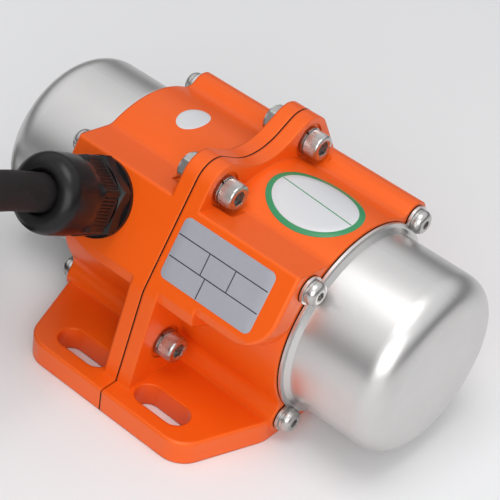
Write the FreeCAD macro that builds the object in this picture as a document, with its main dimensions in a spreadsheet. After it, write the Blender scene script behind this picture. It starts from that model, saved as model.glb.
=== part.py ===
"""Small electric vibration motor on a slotted foot.

Two cast housing halves are clamped on a gasket at the middle flange.  The stator
sits in the halves, the rotor runs in a ball bearing in each end wall, and each
shaft end carries a keyed and an adjustable eccentric weight under a drawn cap.
Frame: X is the motor axis, -Y the front with the cable gland, Z up, and the
origin lies in the foot's underside at the split plane.  Lengths are in mm.
"""
import FreeCAD, Part
import math
import os
import re
import Sketcher

V = FreeCAD.Vector
FULL_TURN = 360.0
RIGHT, LEFT = 1, -1
SIDE_NAME = {RIGHT: "right", LEFT: "left"}

# ---------------------------------------------------------------- driving sizes
SIZES = (
    # housing: barrel and end wall
    ("axis_height", 39.1, "motor axis above the foot's underside"),
    ("barrel_radius", 39.0, "outside of the barrel"),
    ("barrel_end", 50.8, "split plane to the end face"),
    ("gasket_half", 0.25, "half of the gasket at the split plane"),
    ("stator_seat_end", 20.3, "split plane to the stator's shoulder"),
    ("winding_room_radius", 31.5, "inside of the room round the winding"),
    ("end_wall_start", 35.5, "split plane to the inner face of the end wall"),
    ("bearing_shoulder", 37.6, "split plane to the bearing's shoulder"),
    ("shoulder_radius", 14.8, "passage through the bearing's shoulder"),
    ("fit", 0.02, "radial play of seated round pieces"),
    # housing: ears for the cap screws
    ("ear_offset", 29.3, "cap screws from the axis, across and up"),
    ("ear_radius", 6.5, "round back of an ear"),
    ("ear_fillet", 5.0, "valley between ear and barrel"),
    ("cap_hole_radius", 2.1, "tapped hole for a cap screw"),
    ("cap_hole_depth", 13.0, "depth of that hole"),
    # housing: middle flange
    ("flange_half", 6.1, "split plane to the flange's face"),
    ("flange_foot_y", 63.2, "flange's half width at the foot's underside"),
    ("knee_rise", 6.9, "knee in the flange's outline above the axis"),
    ("knee_radius", 14.0, "rounding of the knee"),
    ("top_screw_y", 22.6, "upper flange screws from the middle"),
    ("top_screw_rise", 40.2, "upper flange screws above the axis"),
    ("low_screw_y", 44.0, "lower flange screws from the middle"),
    ("low_screw_z", 22.3, "height of the lower flange screws"),
    ("lobe_radius", 9.5, "rounding round the upper screws"),
    ("saddle_radius", 24.0, "hollow between the two lobes"),
    ("spot_depth", 0.8, "spot face sunk into the flange"),
    ("spot_radius", 6.6, "radius of the spot face"),
    # housing: sloped front pad
    ("pad_tilt", 29.0, "slope of the pad's normal above level"),
    ("pad_top_rise", 36.8, "upper edge of the pad above the axis"),
    ("pad_back_y", 18.5, "where the pad's top runs into the barrel, across"),
    ("pad_back_rise", 33.9, "where the pad's top runs into the barrel, above the axis"),
    ("pad_root", 19.5, "motor axis to the foot of the pad, inside the barrel"),
    ("pad_high", 26.0, "axis line to the pad's upper end, up the slope"),
    ("plain_pad_low", 16.1, "axis line to the plain pad's lower end, down the slope"),
    ("plain_pad_corner", 14.0, "rounded lower corner of the plain pad"),
    ("plain_pad_front", 49.0, "upright front of the plain pad from the middle"),
    ("gland_pad_low", 20.2, "axis line to the gland pad's lower end, down the slope"),
    ("gland_pad_corner", 28.0, "rounded lower corner of the gland pad"),
    ("gland_pad_front", 50.5, "upright front of the gland pad and the lip from the middle"),
    ("lip_end", 21.5, "split plane to the end of the deeper lip of the plain pad"),
    ("lip_overlap", 12.0, "part of the lip that lies inside the plain pad"),
    ("pad_edge_radius", 1.2, "softened edges of the pads"),
    # housing: foot
    ("foot_thick", 9.6, "thickness of the foot"),
    ("foot_half_width", 68.2, "middle to the front edge"),
    ("foot_half_front", 37.4, "half length at the front edge"),
    ("foot_half_mid", 49.4, "half length beside the barrel"),
    ("foot_waist_y", 36.1, "where the slanted sides end"),
    ("foot_corner", 11.0, "rounding of the front corners"),
    ("foot_edge", 1.0, "softened upper edge"),
    ("slot_pitch_x", 38.4, "mounting slots, pitch along the motor"),
    ("slot_pitch_y", 114.4, "mounting slots, pitch across the motor"),
    ("slot_length", 23.4, "overall length of a slot"),
    ("slot_width", 10.4, "width of a slot"),
    # flange fasteners, M6
    ("bolt_radius", 3.0, "shank"),
    ("bolt_hole_radius", 3.3, "clearance hole"),
    ("bolt_head_radius", 5.0, "socket head"),
    ("bolt_head_height", 6.0, "socket head"),
    ("bolt_socket_flats", 5.0, "hexagon socket across flats"),
    ("bolt_socket_depth", 3.2, "hexagon socket"),
    ("bolt_head_edge", 0.5, "rounded rim of the head"),
    ("bolt_tip", 1.6, "thread showing past the nut"),
    ("lock_washer_radius", 5.4, "spring washer under the head"),
    ("lock_washer_thick", 1.6, "spring washer under the head"),
    ("flat_washer_radius", 6.0, "plain washer under the nut"),
    ("flat_washer_thick", 1.2, "plain washer under the nut"),
    ("nut_flats", 10.0, "hexagon nut across flats"),
    ("nut_height", 5.0, "hexagon nut"),
    # end caps, drawn from sheet
    ("seal_thick", 0.5, "paper seal under a cap"),
    ("sheet", 1.0, "cap's sheet thickness"),
    ("cap_radius", 34.8, "outside of the cap's wall"),
    ("cap_flange_radius", 38.0, "outside of the cap's rim"),
    ("cap_ear_radius", 5.2, "ears of the rim round the screws"),
    ("cap_end", 90.5, "split plane to the cap's end"),
    ("cap_edge_radius", 10.0, "rounded edge of the cap"),
    ("cap_root_radius", 1.6, "bend between the rim and the wall"),
    # cap screws, M5 button heads
    ("button_radius", 4.5, "head"),
    ("button_height", 2.8, "head"),
    ("button_round", 2.3, "dome of the head"),
    ("button_socket_flats", 3.0, "hexagon socket"),
    ("button_socket_depth", 1.6, "hexagon socket"),
    ("cap_screw_radius", 2.05, "shank"),
    ("cap_screw_length", 10.0, "shank below the washer"),
    ("cap_washer_radius", 4.4, "spring washer"),
    ("cap_washer_thick", 1.2, "spring washer"),
    # ball bearings
    ("bearing_radius", 17.5, "outer ring"),
    ("bearing_bore_radius", 7.5, "inner ring"),
    ("bearing_width", 11.0, "both rings"),
    ("outer_ring_inside", 14.4, "shoulder of the outer ring"),
    ("inner_ring_outside", 10.6, "shoulder of the inner ring"),
    ("ball_circle", 12.5, "radius of the balls' circle"),
    ("ball_radius", 3.0, "ball"),
    ("ball_count", 7, "balls in a bearing"),
    ("race_play", 0.1, "play between ball, races and cage"),
    ("cage_inside", 11.8, "ball cage"),
    ("cage_outside", 13.2, "ball cage"),
    ("cage_half_width", 3.7, "ball cage"),
    ("clip_thick", 1.3, "retaining rings"),
    ("clip_gap", 6.0, "opening of a retaining ring"),
    ("bore_clip_inside", 15.2, "retaining ring in the bearing seat"),
    ("bore_groove_radius", 18.4, "groove for that ring"),
    # stator
    ("stator_radius", 33.0, "outside of the core"),
    ("stator_bore", 18.0, "inside of the core"),
    ("stator_half", 20.0, "half length of the core"),
    ("slot_count", 24, "slots of the stator core"),
    ("slot_mouth", 2.0, "width of a slot's mouth"),
    ("slot_floor", 4.6, "width of a slot's floor"),
    ("slot_radius", 28.0, "slot floor from the axis"),
    ("slot_liner", 0.2, "insulation between core and winding"),
    ("winding_inside", 20.4, "winding heads"),
    ("winding_outside", 30.6, "winding heads"),
    ("winding_end", 33.0, "split plane to the end of a winding head"),
    ("winding_round", 3.0, "rounded winding heads"),
    # rotor
    ("rotor_radius", 17.6, "outside of the rotor core"),
    ("rotor_half", 20.0, "half length of the rotor core"),
    ("bar_count", 16, "bars of the squirrel cage"),
    ("bar_radius", 1.5, "bar of the squirrel cage"),
    ("bar_circle", 15.4, "bars from the axis"),
    ("end_ring_inside", 11.5, "end ring of the squirrel cage"),
    ("end_ring_outside", 17.3, "end ring of the squirrel cage"),
    ("end_ring_width", 5.0, "end ring of the squirrel cage"),
    ("core_seat_radius", 8.5, "shaft under the rotor core"),
    ("shaft_shoulder_radius", 9.5, "shaft beside the bearing"),
    ("shaft_end_radius", 7.0, "shaft under the weights"),
    ("shaft_end", 86.0, "split plane to the shaft's end"),
    ("shaft_chamfer", 1.0, "chamfer at the shaft's ends"),
    ("bearing_seat_end", 49.4, "where the bearing seat of the shaft ends"),
    # eccentric weights
    ("weight_radius", 30.0, "heavy side"),
    ("weight_thick", 12.0, "one weight"),
    ("weight_gap", 1.0, "space between two weights"),
    ("fixed_weight_start", 54.0, "split plane to the keyed weight"),
    ("weight_chord", 4.0, "flat top of the heavy side below the axis"),
    ("hub_radius", 13.0, "hub round the shaft"),
    ("lug_half_width", 8.0, "clamping lug"),
    ("lug_height", 20.0, "top of the lug from the axis"),
    ("clamp_slit", 1.6, "slit of the clamping lug"),
    ("clamp_height", 14.8, "clamp screw from the axis"),
    ("clamp_radius", 2.5, "clamp screw's shank, M5"),
    ("clamp_head_radius", 4.2, "clamp screw's head"),
    ("clamp_head_height", 5.0, "clamp screw's head"),
    ("clamp_play", 0.15, "play round the clamp screw"),
    ("key_width", 5.0, "key of the keyed weight"),
    ("key_height", 5.0, "key of the keyed weight"),
    ("key_depth", 3.0, "key's depth in the shaft"),
    ("shaft_clip_radius", 9.4, "retaining ring on the shaft"),
    ("shaft_groove_radius", 6.4, "groove for that ring"),
    # cable gland and cable
    ("gland_x", 32.5, "split plane to the gland's axis"),
    ("gland_thread_radius", 11.0, "thread in the pad"),
    ("gland_thread_length", 11.0, "thread in the pad"),
    ("gland_washer_radius", 14.6, "sealing washer"),
    ("gland_washer_thick", 1.5, "sealing washer"),
    ("gland_hex_flats", 27.0, "hexagon of the gland body"),
    ("gland_hex_top", 7.2, "top of that hexagon above the pad"),
    ("gland_neck_radius", 10.6, "neck under the nut"),
    ("gland_neck_top", 15.0, "top of the neck above the pad"),
    ("gland_bore_radius", 7.3, "bore of the gland body"),
    ("gland_nut_start", 7.9, "lower edge of the nut above the pad"),
    ("gland_nut_flats", 26.6, "hexagon of the nut"),
    ("gland_nut_hex_top", 18.5, "top of the nut's hexagon"),
    ("gland_dome_radius", 14.2, "round front of the nut"),
    ("gland_dome_round", 6.0, "rounding of the nut's front"),
    ("gland_top", 34.0, "front of the nut above the pad"),
    ("gland_mouth_radius", 7.5, "mouth of the nut"),
    ("gland_front_wall", 4.0, "wall of the nut at its mouth"),
    ("gland_room_radius", 11.0, "inside of the nut"),
    ("seal_radius", 10.6, "rubber bush in the nut"),
    ("seal_play", 0.1, "play of the bush"),
    ("cable_radius", 6.75, "outside of the cable"),
    ("cable_inner_end", 12.0, "cable's end behind the pad's face"),
    ("core_wire_radius", 1.5, "insulated cores of the cable"),
    ("core_wire_circle", 3.0, "cores from the cable's axis"),
    ("core_wire_reach", 5.5, "bare stretch of the cores inside"),
    ("lead_reach", 26.0, "cores showing at the free end"),
    ("coil_radius", 68.25, "coil, at the middle of its turns"),
    ("coil_turns", 2, "turns of the coil, one on the other"),
    ("coil_sweep", 314.0, "angle that the coil's outer shape covers"),
)

doc = FreeCAD.newDocument("VibrationMotor")
sheet = doc.addObject("Spreadsheet::Sheet", "Sizes")
for row, (alias, value, note) in enumerate(SIZES, start=1):
    sheet.set(f"A{row}", alias)
    sheet.set(f"B{row}", str(value))
    sheet.set(f"C{row}", note)
    sheet.setAlias(f"B{row}", alias)
doc.recompute()
ALIASES = {alias for alias, _, _ in SIZES}


def linked(expression):
    """The expression with every alias pointing into the sheet."""
    return re.sub(r"[a-z][a-z0-9_]*",
                  lambda m: "Sizes." + m.group() if m.group() in ALIASES else m.group(), str(expression))


def size(expression):
    """The number that an expression of aliases stands for."""
    return float(sheet.evalExpression(linked(expression)))


# places that several pieces share, written from the sheet's aliases
TOP_SCREW_Z = "(axis_height + top_screw_rise)"
KNEE_Z = "(axis_height + knee_rise)"
PAD_TOP_Z = "(axis_height + pad_top_rise)"
PAD_BACK_Z = "(axis_height + pad_back_rise)"
PAD_REACH = f"(cos(pad_tilt) * top_screw_y + sin(pad_tilt) * {TOP_SCREW_Z} + lobe_radius)"
PAD_FACE = f"({PAD_REACH} - sin(pad_tilt) * axis_height)"
CAP_SEAT = "(barrel_end + seal_thick)"
CAP_FACE = "(barrel_end + seal_thick + sheet)"
NUT_FACE = "(flange_half - spot_depth)"
BORE_CLIP_START = "(bearing_shoulder + bearing_width + fit)"
ADJUSTABLE_START = "(fixed_weight_start + weight_thick + weight_gap)"
SHAFT_CLIP_START = f"({ADJUSTABLE_START} + weight_thick + 5 * fit)"
MOTOR_AXIS = V(0, 0, size("axis_height"))


def on_pad(z):
    """Across position of the pad's plane at a height."""
    return f"(-({PAD_REACH} - sin(pad_tilt) * ({z})) / cos(pad_tilt))"


# ---------------------------------------------------------------- modelling steps
def new_body(label):
    body = doc.addObject("PartDesign::Body", label)
    body.Label = label
    return body


def origin_plane(body, role):
    return next(item for item in body.Origin.OriginFeatures if item.Role == role)


def new_sketch(body, role, along="0", lifted=False):
    """Sketch on an origin plane, moved along its normal and, if lifted, up to the motor axis."""
    sketch = body.newObject("Sketcher::SketchObject", body.Label + "Sketch")
    sketch.AttachmentSupport = (origin_plane(body, role), [""])
    sketch.MapMode = "FlatFace"
    sketch.setExpression("AttachmentOffset.Base.z", linked(along))
    if lifted:
        sketch.setExpression("AttachmentOffset.Base.y", linked("axis_height"))
    return sketch


def pin(sketch, kind, geometry, point, expression):
    """Bind one coordinate of a sketch point to an expression."""
    value = size(expression)
    axis = -2 if kind == "DistanceX" else -1
    if abs(value) < 1e-9:
        sketch.addConstraint(Sketcher.Constraint("PointOnObject", geometry, point, axis))
        return
    index = sketch.addConstraint(Sketcher.Constraint(kind, -1, 1, geometry, point, value))
    sketch.setExpression(f"Constraints[{index}]", linked(expression))


def bind_radius(sketch, geometry, expression):
    index = sketch.addConstraint(Sketcher.Constraint("Radius", geometry, size(expression)))
    sketch.setExpression(f"Constraints[{index}]", linked(expression))


def polygon(sketch, corners):
    """Closed outline; a corner is (across, up) or (across, up, corner radius)."""
    first = sketch.GeometryCount
    points = [V(size(corner[0]), size(corner[1]), 0) for corner in corners]
    count = len(points)
    for i in range(count):
        sketch.addGeometry(Part.LineSegment(points[i], points[(i + 1) % count]))
    for i in range(count):
        sketch.addConstraint(Sketcher.Constraint("Coincident", first + i, 2, first + (i + 1) % count, 1))
    for i, corner in enumerate(corners):
        pin(sketch, "DistanceX", first + i, 1, corner[0])
        pin(sketch, "DistanceY", first + i, 1, corner[1])
    for i, corner in enumerate(corners):
        if len(corner) == 3:
            arc = sketch.GeometryCount
            before = points[i] + (points[i - 1] - points[i]) * 0.3
            after = points[i] + (points[(i + 1) % count] - points[i]) * 0.3
            sketch.fillet(first + (i - 1) % count, first + i, before, after, size(corner[2]), True, True)
            bind_radius(sketch, arc, corner[2])
    return sketch


def circle(sketch, across, up, radius):
    index = sketch.addGeometry(Part.Circle(V(size(across), size(up), 0), V(0, 0, 1), size(radius)))
    bind_radius(sketch, index, radius)
    pin(sketch, "DistanceX", index, 3, across)
    pin(sketch, "DistanceY", index, 3, up)
    return sketch


def obround(sketch, across, up, length, width):
    """Slot with round ends, its length along the sketch's first axis."""
    radius = size(width) / 2
    reach = size(length) / 2 - radius
    x, y = size(across), size(up)
    ends = []
    for sign, start in ((1, -math.pi / 2), (-1, math.pi / 2)):
        round_end = Part.Circle(V(x + sign * reach, y, 0), V(0, 0, 1), radius)
        ends.append(sketch.addGeometry(Part.ArcOfCircle(round_end, start, start + math.pi)))
    top = sketch.addGeometry(Part.LineSegment(V(x + reach, y + radius, 0), V(x - reach, y + radius, 0)))
    low = sketch.addGeometry(Part.LineSegment(V(x - reach, y - radius, 0), V(x + reach, y - radius, 0)))
    joins = ((ends[0], 2, top, 1), (top, 2, ends[1], 1), (ends[1], 2, low, 1), (low, 2, ends[0], 1))
    for one, one_end, other, other_end in joins:
        sketch.addConstraint(Sketcher.Constraint("Tangent", one, one_end, other, other_end))
    bind_radius(sketch, ends[0], f"({width}) / 2")
    for sign, end in zip((1, -1), ends):
        pin(sketch, "DistanceX", end, 3, f"({across}) + {sign} * (({length}) - ({width})) / 2")
    pin(sketch, "DistanceY", ends[0], 3, up)
    return sketch


def hexagon(sketch, across, up, flats, turn=0.0):
    """Regular hexagon by its width across flats; a corner points along the turn's angle."""
    corners = []
    for step in range(6):
        angle = 60 * step + turn
        corners.append((f"({across}) + ({flats}) / 2 / cos(30) * cos({angle})",
                        f"({up}) + ({flats}) / 2 / cos(30) * sin({angle})"))
    return polygon(sketch, corners)


def extruded(body, kind, sketch, length, reverse=False):
    feature = body.newObject("PartDesign::" + kind, body.Label + kind)
    feature.Profile = sketch
    feature.setExpression("Length", linked(length))
    feature.Reversed = reverse
    body.Tip = feature
    return feature


def pad(body, sketch, length, reverse=False):
    return extruded(body, "Pad", sketch, length, reverse)


def pocket(body, sketch, length, forward=False):
    """Cut that must take material away: forward along the sketch's normal, else against it."""
    doc.recompute()
    before = body.Shape.Volume
    feature = extruded(body, "Pocket", sketch, length, forward)
    doc.recompute()
    if not body.Shape.Volume < before - 1e-6:
        raise RuntimeError(f"{body.Label}: {feature.Name} cuts nothing")
    return feature


def turned(body, kind, sketch, axis="H_Axis"):
    feature = body.newObject("PartDesign::" + kind, body.Label + kind)
    feature.Profile = sketch
    feature.ReferenceAxis = (sketch, [axis])
    feature.Angle = FULL_TURN
    body.Tip = feature
    return feature


def repeated(body, features, sketch, count):
    """Polar pattern of features about the sketch's own normal."""
    pattern = body.newObject("PartDesign::PolarPattern", body.Label + "Pattern")
    pattern.Originals = features
    pattern.Axis = (sketch, ["N_Axis"])
    pattern.Angle = FULL_TURN
    pattern.setExpression("Occurrences", linked(count))
    body.Tip = pattern
    return pattern


def softened(body, radius, wanted, kind="Fillet"):
    """Fillet or chamfer on the edges that the test picks out."""
    doc.recompute()
    base = body.Tip
    names = [f"Edge{i}" for i, edge in enumerate(base.Shape.Edges, start=1) if wanted(edge)]
    if not names:
        raise RuntimeError(f"{body.Label}: no edge to soften")
    feature = body.newObject("PartDesign::" + kind, body.Label + kind)
    feature.Base = (base, names)
    feature.setExpression("Radius" if kind == "Fillet" else "Size", linked(radius))
    body.Tip = feature
    return feature


def near(value, target, slack=1e-4):
    return abs(value - target) < slack


def lies_at_x(edge, x):
    box = edge.BoundBox
    return near(box.XMin, x) and near(box.XMax, x)


def runs_along_x(edge):
    box = edge.BoundBox
    return near(box.YMin, box.YMax) and near(box.ZMin, box.ZMax)


def on_side(body, side):
    """A piece made for the right end goes to the left end by half a turn about Z."""
    if side == LEFT:
        body.Placement = FreeCAD.Placement(V(0, 0, 0), FreeCAD.Rotation(V(0, 0, 1), 180))
    return body


def ear_places():
    return [(f"{y} * ear_offset", f"{z} * ear_offset") for y in (-1, 1) for z in (-1, 1)]


BURIED_EAR = ("-1 * ear_offset", "1 * ear_offset")  # this one's screw sits in the pad's boss


def flange_places():
    places = [(f"{y} * top_screw_y", TOP_SCREW_Z) for y in (-1, 1)]
    return places + [(f"{y} * low_screw_y", "low_screw_z") for y in (-1, 1)]


# ---------------------------------------------------------------- housing halves
def flange_outline(sketch):
    """Slanted sides, a knee, a lobe round each upper screw and a saddle between them."""
    lobe_y = "(top_screw_y + lobe_radius * (cos(pad_tilt) - sin(pad_tilt)))"
    lobe_z = f"({TOP_SCREW_Z} + lobe_radius * (cos(pad_tilt) + sin(pad_tilt)))"
    saddle_z = f"({lobe_z} - {lobe_y} * tan(pad_tilt))"
    knee_y = on_pad(KNEE_Z)
    return polygon(sketch, [
        ("-flange_foot_y", "0"),
        (knee_y, KNEE_Z, "knee_radius"),
        (f"-{lobe_y}", lobe_z, "lobe_radius"),
        ("0", saddle_z, "saddle_radius"),
        (lobe_y, lobe_z, "lobe_radius"),
        (f"-{knee_y}", KNEE_Z, "knee_radius"),
        ("flange_foot_y", "0"),
    ])


def add_foot(body, side):
    """Slotted base plate with slanted sides and softened upper edges."""
    corners = [
        (f"{side} * gasket_half", "-foot_half_width"),
        (f"{side} * foot_half_front", "-foot_half_width", "foot_corner"),
        (f"{side} * foot_half_mid", "-foot_waist_y", "foot_corner"),
        (f"{side} * foot_half_mid", "foot_waist_y", "foot_corner"),
        (f"{side} * foot_half_front", "foot_half_width", "foot_corner"),
        (f"{side} * gasket_half", "foot_half_width"),
    ]
    pad(body, polygon(new_sketch(body, "XY_Plane"), corners), "foot_thick")
    top, split = size("foot_thick"), side * size("gasket_half")

    def upper_outline(edge):
        return near(edge.BoundBox.ZMin, top) and not lies_at_x(edge, split)

    softened(body, "foot_edge", upper_outline)


def slope_sketch(body, distance):
    """Sketch square to the pad at a distance from the motor axis; its second axis points up the slope."""
    sketch = new_sketch(body, "XZ_Plane")
    sketch.AttachmentOffset = FreeCAD.Placement(V(0, 0, 0), FreeCAD.Rotation(V(1, 0, 0), -size("pad_tilt")))
    sketch.setExpression("AttachmentOffset.Base.y", linked(f"axis_height + sin(pad_tilt) * ({distance})"))
    sketch.setExpression("AttachmentOffset.Base.z", linked(f"cos(pad_tilt) * ({distance})"))
    return sketch


def add_pad_block(body, side, end, low, high, corner, front):
    """Boss square to the pad's face, with one rounded lower corner and an upright front."""
    split = f"{side} * gasket_half"
    lower_corner = (f"{side} * {end}", f"-{low}") + ((corner,) if corner else ())
    outline = [(split, f"-{low}"), lower_corner, (f"{side} * {end}", high), (split, high)]
    pad(body, polygon(slope_sketch(body, "pad_root"), outline), f"{PAD_FACE} - pad_root")
    beyond = polygon(new_sketch(body, "YZ_Plane", split), [
        (f"-{front} - 15", "0.8 * axis_height"), (f"-{front}", "0.8 * axis_height"),
        (f"-{front}", "1.6 * axis_height"), (f"-{front} - 15", "1.6 * axis_height"),
    ])
    pocket(body, beyond, "2 * barrel_end", side == RIGHT)


def shape_pad_top(body, side):
    """Level off the boss above the pad's upper edge and soften the edges of its face."""
    above = polygon(new_sketch(body, "YZ_Plane", f"{side} * gasket_half"), [
        (on_pad(PAD_TOP_Z), PAD_TOP_Z),
        ("-pad_back_y", PAD_BACK_Z),
        ("-0.2 * pad_back_y", PAD_BACK_Z),
        ("-0.2 * pad_back_y", f"{PAD_TOP_Z} + 20"),
        (f"{on_pad(PAD_TOP_Z)} - 20", f"{PAD_TOP_Z} + 20"),
        (f"{on_pad(PAD_TOP_Z)} - 20", PAD_TOP_Z),
    ])
    pocket(body, above, "2 * barrel_end", side == RIGHT)
    tilt, reach, split = math.radians(size("pad_tilt")), size(PAD_REACH), side * size("gasket_half")

    def face_outline(edge):
        """Outline of the sloped face, all but the side at the split plane."""
        spots = [vertex.Point for vertex in edge.Vertexes]
        return not lies_at_x(edge, split) and \
            all(near(math.sin(tilt) * spot.z - math.cos(tilt) * spot.y, reach, 1e-3) for spot in spots)

    softened(body, "pad_edge_radius", face_outline)


def add_barrel(body, side):
    """Barrel, level with the foot's underside where it would reach lower, with its ears and soft valleys."""
    start = f"{side} * gasket_half"
    length = "barrel_end - gasket_half"
    pad(body, circle(new_sketch(body, "YZ_Plane", start, True), "0", "0", "barrel_radius"), length, side == LEFT)
    if size("barrel_radius") > size("axis_height"):
        level = polygon(new_sketch(body, "YZ_Plane", start), [
            ("-barrel_radius", "0"), ("barrel_radius", "0"),
            ("barrel_radius", "-barrel_radius"), ("-barrel_radius", "-barrel_radius"),
        ])
        pocket(body, level, "2 * barrel_end", side == RIGHT)
    webs = new_sketch(body, "YZ_Plane", start, True)
    near_in, near_out = "(0.72 * ear_offset", "(ear_offset"
    for y, z in ((-1, -1), (1, -1), (1, 1)):
        polygon(webs, [
            (f"{y} * {near_in} + ear_radius * cos(45))", f"{z} * {near_in} - ear_radius * cos(45))"),
            (f"{y} * {near_out} + ear_radius * cos(45))", f"{z} * {near_out} - ear_radius * cos(45))"),
            (f"{y} * {near_out} - ear_radius * cos(45))", f"{z} * {near_out} + ear_radius * cos(45))"),
            (f"{y} * {near_in} - ear_radius * cos(45))", f"{z} * {near_in} + ear_radius * cos(45))"),
        ])
    pad(body, webs, length, side == LEFT)
    backs = new_sketch(body, "YZ_Plane", start, True)
    for y, z in ear_places():
        if (y, z) != BURIED_EAR:
            circle(backs, y, z, "ear_radius")
    pad(body, backs, length, side == LEFT)
    radius, up = size("barrel_radius"), size("axis_height")

    def open_valley(edge):
        """Valleys beside the ears above the foot, and the one between the pad's top and the barrel."""
        if not runs_along_x(edge):
            return False
        y, z = edge.BoundBox.YMin, edge.BoundBox.ZMin - up
        return near(math.hypot(y, z), radius) and (y > 0 and z > -0.7 * radius or z < -radius / 2 and y < -0.7 * radius
                                                   or z > 0.7 * radius)

    softened(body, "ear_fillet", open_valley)


def cut_inside(body, side):
    """Stator seat, winding room, end wall with the bearing seat and its clip groove."""
    steps = [
        ("gasket_half - 1", "0"),
        ("gasket_half - 1", "stator_radius + fit"),
        ("stator_seat_end", "stator_radius + fit"),
        ("stator_seat_end", "winding_room_radius"),
        ("end_wall_start", "winding_room_radius"),
        ("end_wall_start", "shoulder_radius"),
        ("bearing_shoulder", "shoulder_radius"),
        ("bearing_shoulder", "bearing_radius + fit"),
        (BORE_CLIP_START, "bearing_radius + fit"),
        (BORE_CLIP_START, "bore_groove_radius"),
        (f"{BORE_CLIP_START} + clip_thick + 2 * fit", "bore_groove_radius"),
        (f"{BORE_CLIP_START} + clip_thick + 2 * fit", "bearing_radius + fit"),
        ("barrel_end + 1", "bearing_radius + fit"),
        ("barrel_end + 1", "0"),
    ]
    inside = polygon(new_sketch(body, "XZ_Plane", "0", True), [(f"{side} * ({x})", r) for x, r in steps])
    turned(body, "Groove", inside)


def cut_holes(body, side):
    """Mounting slots, flange screw holes with spot faces, and tapped holes for the cap screws."""
    slots = new_sketch(body, "XY_Plane", "foot_thick + 1")
    for y in (-1, 1):
        obround(slots, f"{side} * slot_pitch_x / 2", f"{y} * slot_pitch_y / 2", "slot_length", "slot_width")
    pocket(body, slots, "foot_thick + 2")
    bolt_holes = new_sketch(body, "YZ_Plane", f"{side} * (gasket_half - 1)")
    spots = new_sketch(body, "YZ_Plane", f"{side} * {NUT_FACE}")
    for y, z in flange_places():
        circle(bolt_holes, y, z, "bolt_hole_radius")
        circle(spots, y, z, "spot_radius")
    pocket(body, bolt_holes, "flange_half + 2", side == RIGHT)
    pocket(body, spots, "bolt_head_height + lock_washer_thick + 1", side == RIGHT)
    cap_holes = new_sketch(body, "YZ_Plane", f"{side} * (barrel_end - cap_hole_depth)", True)
    for y, z in ear_places():
        circle(cap_holes, y, z, "cap_hole_radius")
    pocket(body, cap_holes, "cap_hole_depth + 1", side == RIGHT)


def cut_gland_hole(body):
    """Threaded passage from the pad's face to the winding room, square to the pad."""
    hole = slope_sketch(body, "0.8 * winding_room_radius")
    circle(hole, "-gland_x", "0", "gland_thread_radius + fit")
    pocket(body, hole, "barrel_radius", True)


def housing_half(side):
    body = new_body("housing_" + SIDE_NAME[side])
    add_foot(body, side)
    if side == RIGHT:
        add_pad_block(body, side, "barrel_end", "plain_pad_low", "pad_high", "plain_pad_corner", "plain_pad_front")
    else:
        add_pad_block(body, side, "barrel_end", "gland_pad_low", "pad_high", "gland_pad_corner", "gland_pad_front")
    shape_pad_top(body, side)
    add_barrel(body, side)
    if side == RIGHT:
        add_pad_block(body, side, "lip_end", "gland_pad_low", "lip_overlap - gland_pad_low", None, "gland_pad_front")
    start = f"{side} * gasket_half"
    pad(body, flange_outline(new_sketch(body, "YZ_Plane", start)), "flange_half - gasket_half", side == LEFT)
    cut_inside(body, side)
    cut_holes(body, side)
    if side == LEFT:
        cut_gland_hole(body)
    return body


def flange_gasket():
    """Gasket of the whole split face, open round the stator and the four bolts."""
    body = new_body("flange_gasket")
    pad(body, flange_outline(new_sketch(body, "YZ_Plane", "-gasket_half")), "2 * gasket_half")
    strip = polygon(new_sketch(body, "YZ_Plane", "-gasket_half"), [
        ("-foot_half_width", "0"), ("-foot_half_width", "foot_thick - foot_edge"),
        ("foot_half_width", "foot_thick - foot_edge"), ("foot_half_width", "0"),
    ])
    pad(body, strip, "2 * gasket_half")
    holes = new_sketch(body, "YZ_Plane", "-gasket_half - 1")
    circle(holes, "0", "axis_height", "stator_radius + fit")
    for y, z in flange_places():
        circle(holes, y, z, "bolt_hole_radius")
    pocket(body, holes, "2 * gasket_half + 2", True)


# ---------------------------------------------------------------- flange fasteners
def flange_fasteners():
    """Four socket screws from the right, each with a spring washer, a plain washer and a nut."""
    under_head = f"({NUT_FACE} + lock_washer_thick)"
    nut_top = f"({NUT_FACE} + flat_washer_thick + nut_height)"
    screws = new_body("flange_screws")
    heads = new_sketch(screws, "YZ_Plane", under_head)
    shanks = new_sketch(screws, "YZ_Plane", f"-{nut_top} - bolt_tip")
    sockets = new_sketch(screws, "YZ_Plane", f"{under_head} + bolt_head_height - bolt_socket_depth")
    for y, z in flange_places():
        circle(heads, y, z, "bolt_head_radius")
        circle(shanks, y, z, "bolt_radius")
        hexagon(sockets, y, z, "bolt_socket_flats", 30)
    pad(screws, heads, "bolt_head_height")
    face = size(f"{under_head} + bolt_head_height")
    softened(screws, "bolt_head_edge", lambda edge: lies_at_x(edge, face))
    pad(screws, shanks, f"{nut_top} + bolt_tip + {under_head}")
    pocket(screws, sockets, "bolt_socket_depth + 1", True)

    lock_washers = new_body("flange_lock_washers")
    flat_washers = new_body("flange_flat_washers")
    nuts = new_body("flange_nuts")
    rings = ((lock_washers, NUT_FACE, "lock_washer_radius", "lock_washer_thick"),
             (flat_washers, f"-{NUT_FACE} - flat_washer_thick", "flat_washer_radius", "flat_washer_thick"))
    for body, start, radius, thick in rings:
        ring = new_sketch(body, "YZ_Plane", start)
        for y, z in flange_places():
            circle(ring, y, z, radius)
            circle(ring, y, z, "bolt_radius + 5 * fit")
        pad(body, ring, thick)
    blanks = new_sketch(nuts, "YZ_Plane", f"-{nut_top}")
    for y, z in flange_places():
        hexagon(blanks, y, z, "nut_flats", 90)
        circle(blanks, y, z, "bolt_radius + fit")
    pad(nuts, blanks, "nut_height")


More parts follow.
